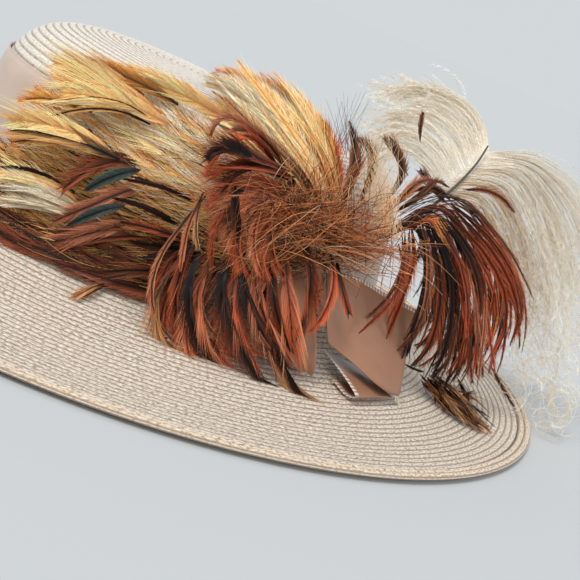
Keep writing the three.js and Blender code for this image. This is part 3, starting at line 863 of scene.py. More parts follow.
def pad_flow(rng, count, length, stray):
    """Random ways along the pad, from root to tip: each one's share of the height, where its tip lies, and
    its points along the pad, up it and through it"""
    label = rng.uniform(*PAD_LABELS, count)
    least = np.interp(label, *PAD_TIPS)
    tip = least + (1 - least) * rng.uniform(0, 1, count) ** 1.2
    root = np.minimum(tip + rng.uniform(*length, count) / PAD_LENGTH, PAD_END)
    t = np.linspace(0, 1, LINE_STEPS)
    along = root[:, None] + (tip - root)[:, None] * t
    narrowing = 1 - 0.42 * np.clip(along, 0, 1) ** 1.5
    height = 0.55 + (label[:, None] - 0.55) * narrowing
    height += rng.normal(0, 0.03, (count, 1)) * np.sin(np.pi * t) + rng.normal(0, stray, (count, 1)) * t**2
    depth = 0.26 + 0.52 * tip[:, None] + rng.uniform(-0.12, 0.14, (count, 1)) + 0.12 * t**2
    return label, tip, along, height, depth


PAD_FEATHERS, PAD_HAIRS = 450, 1000
PAD_HAIR_SHADES = ((24, 16, 13), (66, 42, 28), (220, 160, 96), (244, 208, 150))  # two dark and two pale


def add_pad_hairs(plumage, rng, count):
    """Thin loose barbs that lie over the pad's feathers, dark and pale"""
    label, tip, along, height, depth = pad_flow(rng, count, (22, 62), 0.06)
    lines = pad_point(along, height, np.clip(depth + 0.14, 0.2, 1.2))
    shades = np.array([linear(*shade) for shade in PAD_HAIR_SHADES])
    # Hairs whose tips lie past 0.6 along are dark more often, partly painted shade next to the burst
    pale = np.clip(label, 0.1, 0.9) * np.where(tip > 0.6, 0.5, 1.0)
    dark = rng.uniform(0, 1, count) > 0.30 + 0.62 * pale
    pick = np.where(dark, rng.integers(0, 2, count), rng.integers(2, 4, count))
    tints = shades[pick][:, None] * rng.uniform(0.8, 1.1, (count, 1, 1))
    radius = rng.uniform(0.16, 0.30, count) + np.where(dark, rng.uniform(0, 0.22, count), 0)
    plumage.strands(lines, radius, tints)


def make_pad(look, settings):
    rng = np.random.default_rng(settings.seed)
    plumage = Plumage()
    count = round(PAD_FEATHERS * settings.density)
    label, tip, along, height, depth = pad_flow(rng, count, (38, 72), 0.035)
    lines = pad_point(along, height, np.clip(depth, 0.12, 1.1))
    normals = unit(pad_normal(along, height) + rng.normal(0, 0.16, (count, 1, 3)))
    kinds = []
    for up, ahead in zip(label, tip):
        weights = next(row[2] for row in PAD_KINDS if up >= row[0] and ahead >= row[1])
        kinds.append(str(picked(rng, 1, weights)[0]))
    width = rng.uniform(3.6, 5.8, count)
    barb = settings.barb / MM
    add_feathers(plumage, rng, lines, normals, kinds, width, barbs=36, sweep=2.9, loose=0.2, blade=0.6,
                 barb_width=barb)
    add_traced(plumage, rng, PAD_TRACED, copies=1, scatter=6.0, sink=9, barbs=50, sweep=3.4, loose=0.24,
               blade=0.62, barb_width=barb)
    add_traced(plumage, rng, PAD_GLOSSY, copies=0, barbs=60, sweep=2.0, loose=0.03, blade=0.9,
               barb_width=barb)
    add_pad_hairs(plumage, rng, round(PAD_HAIRS * settings.density))
    plumage.piece("golden_hackle_pad", "hackle_pad", "golden_feather", look)


# Feather masses as columns of points, from root to tip, in the hat's frame
RUST_SPRAY_BACK = (
    ((86, 66, 62), (78, 85, 80), (83, 96, 76), (88, 103, 55), (87, 107, 36), (82, 108, 22)),
    ((82, 69, 68), (75, 93, 89), (85, 110, 78), (93, 121, 53), (95, 127, 31), (93, 129, 17)),
    ((78, 70, 73), (67, 103, 94), (76, 130, 83), (86, 145, 64), (89, 149, 46), (87, 147, 29)),
)
GOLD_SPRAY = (
    ((94, 38, 66), (93, 22, 81), (87, 3, 90), (78, -15, 96), (69, -25, 99)),
    ((92, 43, 70), (89, 28, 90), (81, 14, 101), (69, 1, 107), (57, -12, 109)),
    ((88, 48, 70), (82, 37, 91), (72, 29, 103), (61, 21, 110), (50, 14, 112)),
)
# The front spray's falling hackles, as curves in the view that they lie between
FRONT_CURVES = (
    ((226, 228, 104), (180, 240, 114), (152, 275, 119), (152, 315, 122), (172, 344, 124)),
    ((250, 240, 106), (212, 262, 117), (190, 300, 122), (196, 340, 126), (214, 362, 127)),
    ((275, 250, 107), (250, 278, 119), (230, 315, 125), (238, 350, 128), (260, 380, 130)),
    ((300, 255, 107), (284, 285, 121), (268, 320, 126), (272, 352, 128), (290, 380, 130)),
    ((318, 256, 106), (316, 285, 119), (306, 312, 124), (298, 336, 127), (294, 352, 128)),
)
FRONT_GLOSSY = (
    ("black", 3.6, ((252, 157, 114), (238, 149, 119), (223, 147, 121), (207, 159, 122))),
    ("black", 2.6, ((236, 186, 116), (235, 202, 121), (236, 218, 123), (239, 236, 123))),
)
FRONT_TRACED = (
    ("black", 3.6, ((204, 240, 116), (189, 284, 127), (191, 320, 131), (202, 350, 132), (213, 370, 132))),
    ("black", 4.6, ((240, 240, 112), (222, 278, 126), (226, 314, 132), (243, 352, 134), (272, 406, 135))),
    ("black", 4.4, ((242, 252, 114), (244, 290, 127), (262, 330, 133), (284, 367, 134))),
    ("furnace", 4.0, ((272, 250, 112), (273, 288, 127), (278, 318, 131), (291, 352, 132))),
    ("furnace", 3.8, ((300, 230, 106), (310, 266, 122), (309, 298, 128), (299, 337, 131))),
    ("russet", 4.6, ((214, 250, 114), (198, 290, 124), (200, 324, 128), (213, 366, 129))),
    ("rust", 5.0, ((246, 250, 112), (232, 290, 124), (236, 324, 129), (254, 374, 131))),
    ("russet", 5.0, ((256, 252, 112), (256, 290, 125), (268, 326, 130), (286, 364, 131))),
    ("russet", 5.2, ((284, 248, 110), (288, 288, 124), (291, 320, 129), (293, 354, 130))),
    ("rust", 4.6, ((210, 262, 114), (196, 302, 122), (190, 326, 125), (184, 350, 126))),
    ("rust", 5.0, ((200, 234, 112), (182, 264, 119), (172, 296, 121), (170, 322, 123))),
    ("furnace", 2.4, ((197, 230, 118), (185, 258, 123), (177, 284, 125), (175, 306, 126))),
    ("tan", 4.8, ((176, 262, 118), (155, 300, 126), (161, 340, 129), (181, 367, 130), (205, 380, 131))),
    ("tan", 4.8, ((268, 330, 130), (279, 364, 132), (290, 384, 133), (305, 399, 133))),
    ("black", 2.2, ((285, 366, 134), (292, 382, 135), (298, 392, 135), (306, 400, 135))),
    ("rust", 2.4, ((210, 338, 131), (226, 364, 132), (243, 383, 132), (261, 398, 132))),
    ("chestnut", 1.5, ((206, 196, 116), (168, 243, 121), (152, 283, 125), (157, 320, 128),
                       (181, 349, 129))),
    ("russet", 1.3, ((204, 192, 115), (190, 222, 120), (184, 246, 123), (180, 272, 126))),
    ("tan", 1.2, ((202, 194, 116), (197, 216, 119), (196, 234, 121), (199, 250, 121))),
    ("rust", 2.8, ((246, 194, 108), (239, 222, 117), (238, 250, 121), (245, 272, 122))),
    ("russet", 2.0, ((268, 196, 112), (256, 222, 120), (254, 250, 123), (262, 278, 124))),
    ("rust", 2.0, ((256, 190, 112), (226, 208, 119), (214, 238, 122), (212, 268, 124))),
    ("furnace", 2.2, ((282, 206, 110), (272, 230, 120), (274, 256, 123), (284, 276, 124))),
    ("dipped", 4.2, ((290, 172, 96), (262, 160, 107), (236, 147, 114), (208, 157, 117))),
    ("rust", 4.6, ((296, 178, 95), (266, 168, 107), (238, 164, 112), (212, 176, 114))),
    ("black", 3.0, ((288, 180, 98), (262, 168, 108), (240, 172, 114), (222, 190, 117))),
    ("rust", 4.4, ((300, 196, 97), (268, 184, 109), (238, 182, 113), (213, 202, 115))),
    ("russet", 4.4, ((300, 208, 98), (268, 194, 110), (240, 196, 115), (220, 228, 116))),
    ("russet", 3.6, ((290, 200, 100), (262, 196, 112), (240, 214, 117), (226, 246, 119))),
    ("chestnut", 1.8, ((276, 168, 92), (256, 136, 98), (238, 121, 102), (220, 120, 104), (211, 136, 105))),
    ("rust", 3.0, ((284, 176, 92), (264, 148, 98), (246, 137, 101), (222, 150, 105), (206, 176, 108))),
    ("chestnut", 2.4, ((292, 180, 92), (274, 150, 97), (254, 132, 100), (234, 130, 103))),
    ("rust", 3.4, ((312, 218, 98), (288, 206, 110), (268, 226, 118), (262, 256, 122), (272, 284, 123))),
    ("chestnut", 2.2, ((308, 212, 98), (282, 200, 110), (254, 206, 116), (242, 232, 119), (240, 268, 121))),
    ("black", 2.8, ((250, 184, 112), (237, 194, 116), (234, 212, 118), (238, 236, 119))),
    ("brown", 3.4, ((300, 160, 84), (292, 184, 96), (284, 212, 104), (282, 240, 108))),
    ("furnace", 2.0, ((336, 256, 104), (339, 276, 114), (344, 296, 120), (349, 314, 124))),
    ("rust", 2.0, ((330, 250, 106), (334, 280, 120), (326, 310, 127), (310, 332, 130))),
    ("rust", 2.2, ((398, 244, 100), (403, 268, 106), (392, 300, 110), (358, 334, 114))),
)
BACK_TRACED = (
    ("black", 3.0, ((412, 222, 92), (428, 255, 96), (425, 295, 99), (412, 330, 101), (408, 352, 101))),
    ("black", 3.0, ((430, 222, 90), (448, 262, 96), (452, 305, 98), (446, 345, 98), (433, 377, 97))),
    ("chestnut", 2.4, ((405, 232, 92), (404, 262, 98), (392, 292, 102), (367, 318, 104))),
    ("rust", 2.4, ((412, 225, 92), (414, 262, 98), (402, 300, 102), (386, 340, 102))),
    ("furnace", 2.8, ((442, 218, 88), (470, 258, 94), (480, 300, 96), (472, 345, 96), (452, 381, 95))),
    ("rust", 2.8, ((448, 214, 86), (482, 250, 92), (504, 290, 94), (505, 330, 94), (490, 364, 93))),
    ("rust", 2.4, ((455, 210, 84), (488, 246, 90), (510, 282, 92), (518, 318, 92), (510, 346, 91))),
    ("russet", 2.0, ((452, 206, 84), (488, 236, 88), (510, 268, 90), (522, 300, 91), (520, 326, 90))),
    ("rust", 2.8, ((436, 222, 90), (460, 262, 96), (468, 310, 98), (462, 350, 97), (446, 374, 96))),
    ("furnace", 2.6, ((426, 222, 90), (438, 262, 96), (440, 305, 99), (430, 345, 99), (414, 366, 98))),
    ("chestnut", 2.2, ((420, 218, 90), (428, 250, 96), (428, 290, 100), (418, 326, 101), (396, 352, 101))),
)
# The gold spray's parts, by their shares across it and their kinds of feather
GOLD_PARTS = (
    ((0.0, 0.45), {"cream": 7, "gold": 5, "tan": 0.6}),
    ((0.35, 1.0), {"gold": 8, "amber": 3, "cream": 0.6}),
)
GOLD_TRACED = (
    ("cream", 7.0, ((318, 215, 94), (290, 160, 90), (262, 118, 80), (232, 92, 70), (206, 82, 62))),
    ("cream", 7.0, ((322, 205, 92), (298, 150, 86), (272, 112, 78), (244, 92, 68), (220, 84, 60))),
    ("gold", 5.0, ((300, 200, 96), (270, 150, 92), (244, 124, 84), (222, 112, 78), (196, 106, 70))),
    ("gold", 5.5, ((325, 200, 90), (312, 150, 80), (292, 116, 70), (266, 92, 62), (232, 70, 54))),
    ("amber", 4.5, ((328, 195, 88), (316, 145, 78), (298, 112, 68), (274, 92, 60), (246, 78, 54))),
    ("amber", 4.0, ((300, 125, 70), (274, 98, 62), (248, 80, 56), (215, 70, 50))),
    ("gold", 5.5, ((316, 215, 94), (296, 170, 90), (280, 140, 84), (262, 120, 76), (248, 104, 70))),
    ("amber", 4.5, ((330, 200, 88), (328, 160, 80), (318, 130, 72), (304, 108, 64))),
    ("rust", 3.6, ((332, 205, 88), (338, 175, 80), (330, 140, 72), (318, 118, 66))),
    ("brown", 3.6, ((340, 215, 88), (350, 185, 78), (358, 160, 70), (354, 132, 62))),
    ("brown", 3.2, ((362, 200, 78), (372, 172, 66), (370, 150, 58), (360, 140, 52))),
    ("brown", 3.0, ((384, 205, 76), (402, 176, 62), (398, 156, 54), (386, 140, 48))),
    ("brown", 3.0, ((396, 212, 78), (420, 196, 66), (432, 188, 60), (444, 196, 58))),
    ("chestnut", 3.0, ((380, 215, 80), (402, 198, 70), (416, 184, 62), (430, 180, 56))),
)
# Single small feathers behind the burst and on the plume
LONE_TRACED = (
    ("chestnut", 2.4, ((463, 190, 76), (484, 190, 74), (502, 198, 72), (515, 213, 71))),
    ("brown", 1.5, ((420, 142, 42), (420, 132, 41), (421, 122, 40), (423, 112, 39))),
    ("brown", 2.6, ((408, 176, 60), (400, 160, 54), (394, 146, 50), (384, 138, 47))),
    ("black", 2.4, ((452, 202, 60), (438, 190, 58), (424, 188, 58), (410, 192, 60))),
    ("brown", 2.4, ((448, 205, 62), (436, 192, 58), (428, 180, 54), (420, 170, 52))),
)


# Feathers laid at random in the front spray, the back spray and each part of the gold one, and the kinds of
# the first two
FRONT_FEATHERS, BACK_FEATHERS, GOLD_FEATHERS = 20, 110, 36
FRONT_KINDS = {"rust": 3, "russet": 4, "chestnut": 3, "furnace": 3, "tan": 1.2}
BACK_KINDS = {"rust": 4, "chestnut": 3, "brown": 4, "furnace": 5, "amber": 0.8}
# What is added to the seed for each group of pieces after the pad
SPRAYS_SEED, BURST_SEED, PLUME_SEED, TUFT_SEED = 1, 2, 3, 4
FINE_BARB = 0.26  # millimetres, the width of the smallest feathers' barbs


def make_sprays(look, settings):
    rng = np.random.default_rng(settings.seed + SPRAYS_SEED)
    barb = settings.barb / MM
    plumage = Plumage()
    count = round(FRONT_FEATHERS * settings.density)
    curves = [seen(curve) for curve in FRONT_CURVES]
    lines, normals = flowing(rng, curves, count, (36, 60), depth=7, curl=4, splay=8, aside=(0.0, 0.6))
    kinds = picked(rng, count, FRONT_KINDS)
    add_feathers(plumage, rng, lines, normals, kinds, rng.uniform(1.4, 2.8, count), barbs=50, sweep=4.6,
                 loose=0.2, barb_width=0.8 * barb)
    add_traced(plumage, rng, FRONT_GLOSSY, copies=0, barbs=60, sweep=2.4, loose=0.04, blade=0.8,
               barb_width=barb)
    add_traced(plumage, rng, FRONT_TRACED, copies=0, barbs=96, sweep=4.8, loose=0.14, blade=0.5,
               barb_width=0.8 * barb)
    plumage.piece("rust_hackles_front", "rust_spray_front", "rust_feather", look)

    plumage = Plumage()
    count = round(BACK_FEATHERS * settings.density)
    lines, normals = flowing(rng, RUST_SPRAY_BACK, count, (44, 80), depth=10, curl=6, splay=8)
    kinds = picked(rng, count, BACK_KINDS)
    add_feathers(plumage, rng, lines, normals, kinds, rng.uniform(0.8, 1.9, count), barbs=40, sweep=6.0,
                 loose=0.22, barb_width=0.7 * barb)
    add_traced(plumage, rng, BACK_TRACED, copies=2, scatter=7.0, barbs=48, sweep=5.4, loose=0.18,
               barb_width=0.7 * barb)
    plumage.piece("rust_hackles_back", "rust_spray_back", "rust_feather", look)

    plumage = Plumage()
    for aside, weights in GOLD_PARTS:
        count = round(GOLD_FEATHERS * settings.density)
        lines, normals = flowing(rng, GOLD_SPRAY, count, (44, 84), depth=9, curl=4, splay=6, aside=aside)
        kinds = picked(rng, count, weights)
        add_feathers(plumage, rng, lines, normals, kinds, rng.uniform(2.4, 4.4, count), barbs=44, sweep=3.4,
                     loose=0.18, barb_width=barb)
    add_traced(plumage, rng, GOLD_TRACED, copies=1, scatter=5.0, barbs=54, sweep=3.2, loose=0.14, blade=0.6,
               barb_width=barb)
    add_traced(plumage, rng, LONE_TRACED, copies=0, barbs=40, sweep=3.2, loose=0.2, barb_width=FINE_BARB)
    plumage.piece("gold_hackles", "gold_spray", "amber_feather", look)


# The burst of fine barbs between the sprays: places in the view from which they rise, and then droop
BURST_PLACE = (322, 238, 104)
# Two fans of strands: how many, the share of each shade, the means in the view of their roots, middles and
# tips, and how far those spread
BURST_FANS = (
    (120, (0.2, 0.0, 0.0, 0.0, 0.8),
     ((388, 234, 90), (380, 188, 76), (368, 142, 60)), ((7, 5), (12, 6), (18, 12))),
    (120, (0.16, 0.24, 0.3, 0.26, 0.04),
     ((312, 226, 115), (272, 222, 122), (246, 264, 125)), ((26, 18), (26, 20), (32, 26))),
)
BURST_SHADES = ((238, 160, 102), (202, 118, 76), (136, 78, 52), (60, 36, 27), (252, 226, 190))
BURST_SHARES = (0.3, 0.27, 0.2, 0.13, 0.1)
BURST_STRANDS = 900
# Short pale hairs over the bow: how many, the patch of the view that they hang from, and their colour
PALE_HAIRS = 60
PALE_PLACE, PALE_SIZE, PALE_LEFT = (294, 238), (28, 9), 114
PALE_SHADE = (210, 172, 136)
# Grey hairs behind the burst: how many, the places in the view and spreads of their ends, and their colour
GREY_HAIRS = 24
GREY_ENDS = (((340, 150, 66), (8, 5)), ((348, 108, 56), (14, 10)))
GREY_SHADE = (150, 142, 146)


def make_burst(look, settings):
    rng = np.random.default_rng(settings.seed + BURST_SEED)
    plumage = Plumage()
    count = round(BURST_STRANDS * settings.density)
    side, up, looks = view_axes()
    t = np.linspace(0, 1, LINE_STEPS)[None, :, None]
    turn = rng.uniform(-0.35, math.pi + 0.35, count)[:, None, None]
    length = rng.uniform(14, 54, count)[:, None, None] * (0.62 + 0.38 * np.sin(np.clip(turn, 0.3, 2.8)))
    droop = rng.uniform(6, 34, count)[:, None, None] * (length / 50) ** 1.5
    start = seen(BURST_PLACE) + rng.normal(0, 1, (count, 1, 3)) * [3, 13, 6]
    lines = start + (side * np.cos(turn) + up * np.sin(turn)) * length * t
    lines = lines - up * droop * t**2 - looks * rng.uniform(-4, 14, (count, 1, 1)) * np.sin(np.pi * t * 0.8)
    lines += side * rng.normal(0, 4, (count, 1, 1)) * t**2
    shades = np.array([linear(*shade) for shade in BURST_SHADES])
    tints = shades[rng.choice(len(shades), count, p=BURST_SHARES)][:, None]
    tints = tints * rng.uniform(0.7, 1.2, (count, 1, 1)) * np.where(np.cos(turn) < -0.1, 0.6, 1.0)
    plumage.strands(lines, rng.uniform(0.13, 0.24, count), tints)
    for number, chances, places, spreads in BURST_FANS:
        count = round(number * settings.density)
        offs = rng.normal(0, 1, (count, 3, 2)) * np.array(spreads)
        fan = np.array(places, float) + np.concatenate([offs, rng.normal(0, 3, (count, 3, 1))], -1)
        fan = np.swapaxes(spline(np.swapaxes(seen(fan), 0, 1), np.linspace(0, 1, 8)), 0, 1)
        tints = shades[rng.choice(len(shades), count, p=chances)][:, None]
        tints = tints * rng.uniform(0.8, 1.15, (count, 1, 1))
        plumage.strands(fan, rng.uniform(0.10, 0.19, count), tints)
    pale = rng.uniform(0, 1, (PALE_HAIRS, 2)) * PALE_SIZE + PALE_PLACE
    roots = seen(np.concatenate([pale, np.full((PALE_HAIRS, 1), PALE_LEFT)], 1))[:, None]
    downs = roots + rng.normal(0, 2.4, (PALE_HAIRS, 1, 3)) * t
    plumage.strands(downs, 0.15, linear(*PALE_SHADE))
    ends = []
    for (across, down, left), (wide, tall) in GREY_ENDS:
        places = [across + rng.normal(0, wide, GREY_HAIRS), down + rng.normal(0, tall, GREY_HAIRS)]
        ends.append(np.stack([*places, np.full(GREY_HAIRS, left)], 1))
    greys = spline(seen(np.array(ends)), np.linspace(0, 1, 5))
    plumage.strands(np.swapaxes(greys, 0, 1), 0.2, linear(*GREY_SHADE))
    plumage.piece("brown_filaments", "filament_burst", "brown_feather", look)


# The ostrich plume's bare stem, and its barbs as families of curves, all in the view
QUILL_ROUTE = ((360, 243, 84), (385, 233, 72), (413, 220, 62), (441, 199, 56), (461, 181, 49),
               (477, 163, 43), (488, 146, 37))
QUILL_RADII = (1.1, 0.45)
QUILL_SIDES = 10
PLUME_TONES = ((1, 1, 1), (0.95, 0.92, 0.86), (1.05, 1.06, 1.08), (0.92, 0.85, 0.74), (0.78, 0.60, 0.42))
RINGLET_PLACES = ((524, 300, 58), (548, 330, 62), (566, 360, 64), (556, 392, 69), (532, 376, 69),
                  (508, 350, 67))
LONE_BARB = ((484, 150, 30), (475, 128, 26), (464, 100, 22), (452, 70, 18))
LOBE_CURVES = (
    ((440, 192, 50), (424, 168, 42), (406, 154, 30), (388, 154, 22), (374, 166, 16), (366, 188, 14)),
    ((462, 172, 42), (448, 144, 32), (426, 126, 20), (400, 122, 12), (378, 134, 8), (365, 156, 8)),
    ((480, 157, 34), (470, 128, 24), (448, 106, 12), (416, 98, 6), (388, 106, 4), (370, 126, 4)),
    ((489, 149, 30), (483, 122, 22), (462, 99, 10), (428, 88, 5), (396, 93, 3), (374, 112, 3)),
)
FALL_CURVES = (
    ((438, 196, 54), (474, 204, 50), (492, 240, 52), (500, 290, 58), (512, 345, 66), (522, 398, 73)),
    ((456, 178, 46), (500, 188, 46), (524, 236, 50), (538, 296, 57), (544, 352, 64), (548, 412, 72)),
    ((474, 162, 38), (526, 172, 42), (558, 222, 46), (572, 285, 54), (574, 355, 63), (568, 428, 72)),
    ((488, 151, 32), (540, 160, 38), (584, 204, 42), (606, 268, 52), (610, 340, 62), (592, 412, 70)),
)


BARBULES = 98  # down each side of a barb
LOBE_LOCKS, FALL_LOCKS, LOCK_BARBS = 36, 48, 8
RINGLETS = 70


def add_ostrich(plumage, rng, lines, reach, shades):
    """Long soft barbs along lines, each a thin thread with short barbules down both sides. shades has one for
    each."""
    count, steps = lines.shape[:2]
    tints = shades[:, None] * rng.uniform(0.92, 1.06, (count, 1, 1))
    plumage.strands(lines, 0.15, tints)
    ahead = unit(np.gradient(lines, axis=1))
    spins = rng.uniform(0, math.tau, count)[:, None, None]
    base = unit(np.cross(ahead, [0.2, 0.3, 0.93]))
    side = base * np.cos(spins) + np.cross(ahead, base) * np.sin(spins)
    along = np.sort(rng.uniform(0.06, 1, (count, BARBULES)), axis=1)
    rows, index, part = between(along, steps)
    root = lines[rows, index] * (1 - part) + lines[rows, index + 1] * part
    forward, out = ahead[rows, index], side[rows, index]
    for hand in (-1, 1):
        size = rng.uniform(0.5, 1.0, (count, BARBULES, 1)) * reach * (0.35 + 0.65 * along)[..., None]
        stray = rng.normal(0, 0.25, (count, BARBULES, 3))
        end = root + (forward * 1.5 + hand * out * 0.8 + stray) * size - [0, 0, 0.2] * size
        flank = forward * 0.10 + out * 0.05
        shape = (count * BARBULES, 2, 3)
        line = np.stack([root, end], 2).reshape(shape)
        shift = np.stack([flank, flank * 0.1], 2).reshape(shape)
        colour = np.broadcast_to(tints[:, :, None], (count, BARBULES, 2, 3)).reshape(shape)
        plumage.strip(line - shift, line + shift, colour, colour, pointed=True)


def locks(rng, curves, clusters, each, steps, shortest, spread, curl):
    """Barbs in loose locks along families of curves in the view. They part towards their tips, which curl
    up."""
    curves = [seen(curve) for curve in curves]
    count = clusters * each
    lock = np.repeat(np.arange(clusters), each)
    t = np.linspace(0, 1, steps)
    place = ((lock + 0.5) / clusters)[:, None] + rng.normal(0, 0.02, (count, 1)) * (1 + 2 * t)
    length = rng.uniform(shortest, 1.0, clusters)[lock][:, None] * rng.uniform(0.85, 1.0, (count, 1))
    lines = sheet_points(curves, np.clip(t * length, 0, 1), np.clip(place, 0, 1))
    away = rng.normal(0, 1, (clusters, 1, 3))[lock] * spread * t[None, :, None] ** 1.4
    stray = rng.normal(0, 1, (count, 1, 3)) * spread * 0.45 * t[None, :, None] ** 1.2
    phase = rng.uniform(0, math.tau, (count, 1, 3))
    wave = np.sin(phase + t[None, :, None] * rng.uniform(5, 11, (count, 1, 1))) * 1.1 * t[None, :, None]
    start = rng.uniform(0.62, 0.85, (count, 1))
    turned = np.clip((t - start) / (1 - start), 0, 1) * rng.uniform(0, 1, (count, 1)) * curl
    hand = rng.choice([-1, 1], (count, 1))
    radius = rng.uniform(3, 8, (count, 1))
    side, up = view_axes()[:2]
    ringlet = side * (radius * np.sin(turned) * hand)[..., None]
    ringlet = ringlet + up * (radius * (1 - np.cos(turned)))[..., None]
    return lines + away + stray + wave + ringlet


def tube(name, line, first, last):
    """A round tapering rod along a line of points, closed at its ends"""
    ahead = unit(np.gradient(line, axis=0))
    rod = bmesh.new()
    radii = np.linspace(first, last, len(line)) * MM
    ring = bmesh.ops.create_circle(rod, cap_ends=True, segments=QUILL_SIDES, radius=1)["verts"]
    edges = list(rod.edges)
    before = Matrix()
    for point, way, radius in zip(placed(line), ahead, radii):
        turned = Vector(way).to_track_quat("Z", "Y").to_matrix().to_4x4()
        after = Matrix.Translation(Vector(point)) @ turned @ Matrix.Scale(radius, 4)
        if before != Matrix():
            made = bmesh.ops.extrude_edge_only(rod, edges=edges)["geom"]
            ring = [item for item in made if isinstance(item, bmesh.types.BMVert)]
            edges = [item for item in made if isinstance(item, bmesh.types.BMEdge)
                     and all(vert in ring for vert in item.verts)]
        bmesh.ops.transform(rod, verts=ring, matrix=after @ before.inverted())
        before = after
    bmesh.ops.contextual_create(rod, geom=edges)
    bmesh.ops.recalc_face_normals(rod, faces=rod.faces)
    return mesh_from(rod, name)


def ringlets(rng, count, steps):
    """Barbs that hang curled into rings at the fall's lower end"""
    side, up = view_axes()[:2]
    t = np.linspace(0, 1, steps)
    start = seen(spline(RINGLET_PLACES, rng.uniform(0, 1, count)))[:, None]
    start = start + rng.normal(0, 7, (count, 1, 3))
    radius = rng.uniform(4.5, 12.0, (count, 1)) * (1 - 0.35 * t)
    first = rng.uniform(0, math.tau, (count, 1))
    turned = first + rng.uniform(4, 9, (count, 1)) * t * rng.choice([-1, 1], (count, 1))
    rings = side * (radius * np.cos(turned))[..., None] + up * (radius * np.sin(turned))[..., None]
    return start + rings - up * (rng.uniform(4, 26, (count, 1)) * t)[..., None]


def make_plume(look, quill_look, settings):
    rng = np.random.default_rng(settings.seed + PLUME_SEED)
    shades = np.array(settings.plume) * np.array(PLUME_TONES)
    tan = len(PLUME_TONES) - 1
    each = round(LOCK_BARBS * settings.density)
    reach = settings.barbule / MM
    plumage = Plumage()
    lines = locks(rng, LOBE_CURVES, LOBE_LOCKS, each, steps=16, shortest=0.55, spread=2.6, curl=2.5)
    add_ostrich(plumage, rng, lines, reach, shades[rng.integers(0, tan, len(lines))])
    lines = spline(seen(LONE_BARB), np.linspace(0, 1, 16))[None]
    add_ostrich(plumage, rng, lines, 1.0, shades[:1])
    plumage.piece("ostrich_lobe", "ostrich_plume_top", "ostrich", look)

    plumage = Plumage()
    lines = locks(rng, FALL_CURVES, FALL_LOCKS, each, steps=26, shortest=0.6, spread=8.0, curl=12.0)
    share = np.repeat(np.arange(FALL_LOCKS), each) / FALL_LOCKS
    # Most barbs on the fall's inner side take the darker tan tone
    inner = (share < 0.34) & (rng.uniform(0, 1, len(share)) < 0.6)
    shade = np.where(inner, tan, rng.integers(0, tan, len(share)))
    add_ostrich(plumage, rng, lines, reach, shades[shade])
    lines = ringlets(rng, round(RINGLETS * settings.density), 26)
    add_ostrich(plumage, rng, lines, 0.6 * reach, shades[rng.integers(0, tan, len(lines))])
    plumage.piece("ostrich_fall", "ostrich_plume_fall", "ostrich", look)

    stem = tube("plume_stem", spline(seen(QUILL_ROUTE), np.linspace(0, 1, 32)), *QUILL_RADII)
    finished("plume_stem", stem, "plume_quill", quill_look)


# The tuft on the brim, in the view: where its feathers rise and end, how many they are, and their kinds
TUFT_ROOT, TUFT_TIPS = (433, 381, 78), ((464, 396, 88), (486, 427, 104), (476, 430, 104), (440, 408, 90))
TUFT_FEATHERS = 44
TUFT_KINDS = {"brown": 4, "black": 3, "tan": 3, "chestnut": 2}
TUFT_HAIR_SHADES = ((196, 140, 92), (46, 30, 24))
TUFT_STRAYS = (
    ("black", 0.7, ((403, 363, 88), (410, 367, 88), (417, 370, 88), (424, 372, 88))),
    ("cream", 1.0, ((395, 370, 104), (396, 386, 106), (397, 403, 108), (399, 420, 110))),
    ("brown", 1.6, ((491, 366, 66), (498, 380, 68), (506, 394, 70), (514, 407, 72))),
    ("tan", 1.6, ((420, 374, 80), (427, 382, 82), (434, 390, 86), (440, 398, 89))),
    ("black", 1.2, ((457, 377, 80), (461, 385, 82), (465, 393, 84), (469, 401, 86))),
    ("tan", 1.4, ((452, 398, 90), (468, 411, 97), (481, 424, 103), (492, 434, 107))),
    ("tan", 1.2, ((448, 402, 91), (462, 415, 98), (474, 426, 103), (484, 433, 106))),
)


def above_brim(lines, clear):
    """Lines of points with those near the brim's upper face or under it lifted clear of it"""
    low = brim_top(lines[..., 0], lines[..., 1]) + clear
    return np.concatenate([lines[..., :2], np.maximum(lines[..., 2], low)[..., None]], -1)


def make_tuft(look, settings):
    rng = np.random.default_rng(settings.seed + TUFT_SEED)
    plumage = Plumage()
    count = TUFT_FEATHERS
    tips = spline(TUFT_TIPS, rng.uniform(0, 1, count)) + rng.normal(0, 4.4, (count, 3)) * [1, 1, 0.4]
    roots = np.array(TUFT_ROOT) + rng.normal(0, 3.4, (count, 3)) * [1.6, 1, 0.3]
    middles = (roots + tips) / 2 + rng.normal(0, 5.0, (count, 3)) * [1, 1, 0.3] + [0, -1, 2]
    routes = np.stack([roots, middles, tips], 1)
    lines = np.array([spline(seen(route), np.linspace(0, 1, LINE_STEPS)) for route in routes])
    lines = above_brim(lines, rng.uniform(1, 4, (count, 1)))
    kinds = picked(rng, count, TUFT_KINDS)
    normals = unit(rng.normal(0, 0.4, (count, 3)) + [0.4, -0.1, 1])
    add_feathers(plumage, rng, lines, normals, kinds, rng.uniform(0.8, 1.8, count), barbs=32, sweep=4.0,
                 loose=0.4, blade=0.3, barb_width=0.8 * settings.barb / MM)
    hairs = lines + rng.normal(0, 3.0, (count, 1, 3)) * np.linspace(0, 1, LINE_STEPS)[:, None]
    shades = np.array([linear(*shade) for shade in TUFT_HAIR_SHADES])
    plumage.strands(above_brim(hairs, 1.5), 0.2, shades[rng.integers(0, 2, count)][:, None])
    add_traced(plumage, rng, TUFT_STRAYS, copies=0, barbs=30, sweep=3.6, loose=0.2, barb_width=FINE_BARB)
    plumage.piece("brown_tuft", "brim_tuft", "brown_feather", look)


# Satin

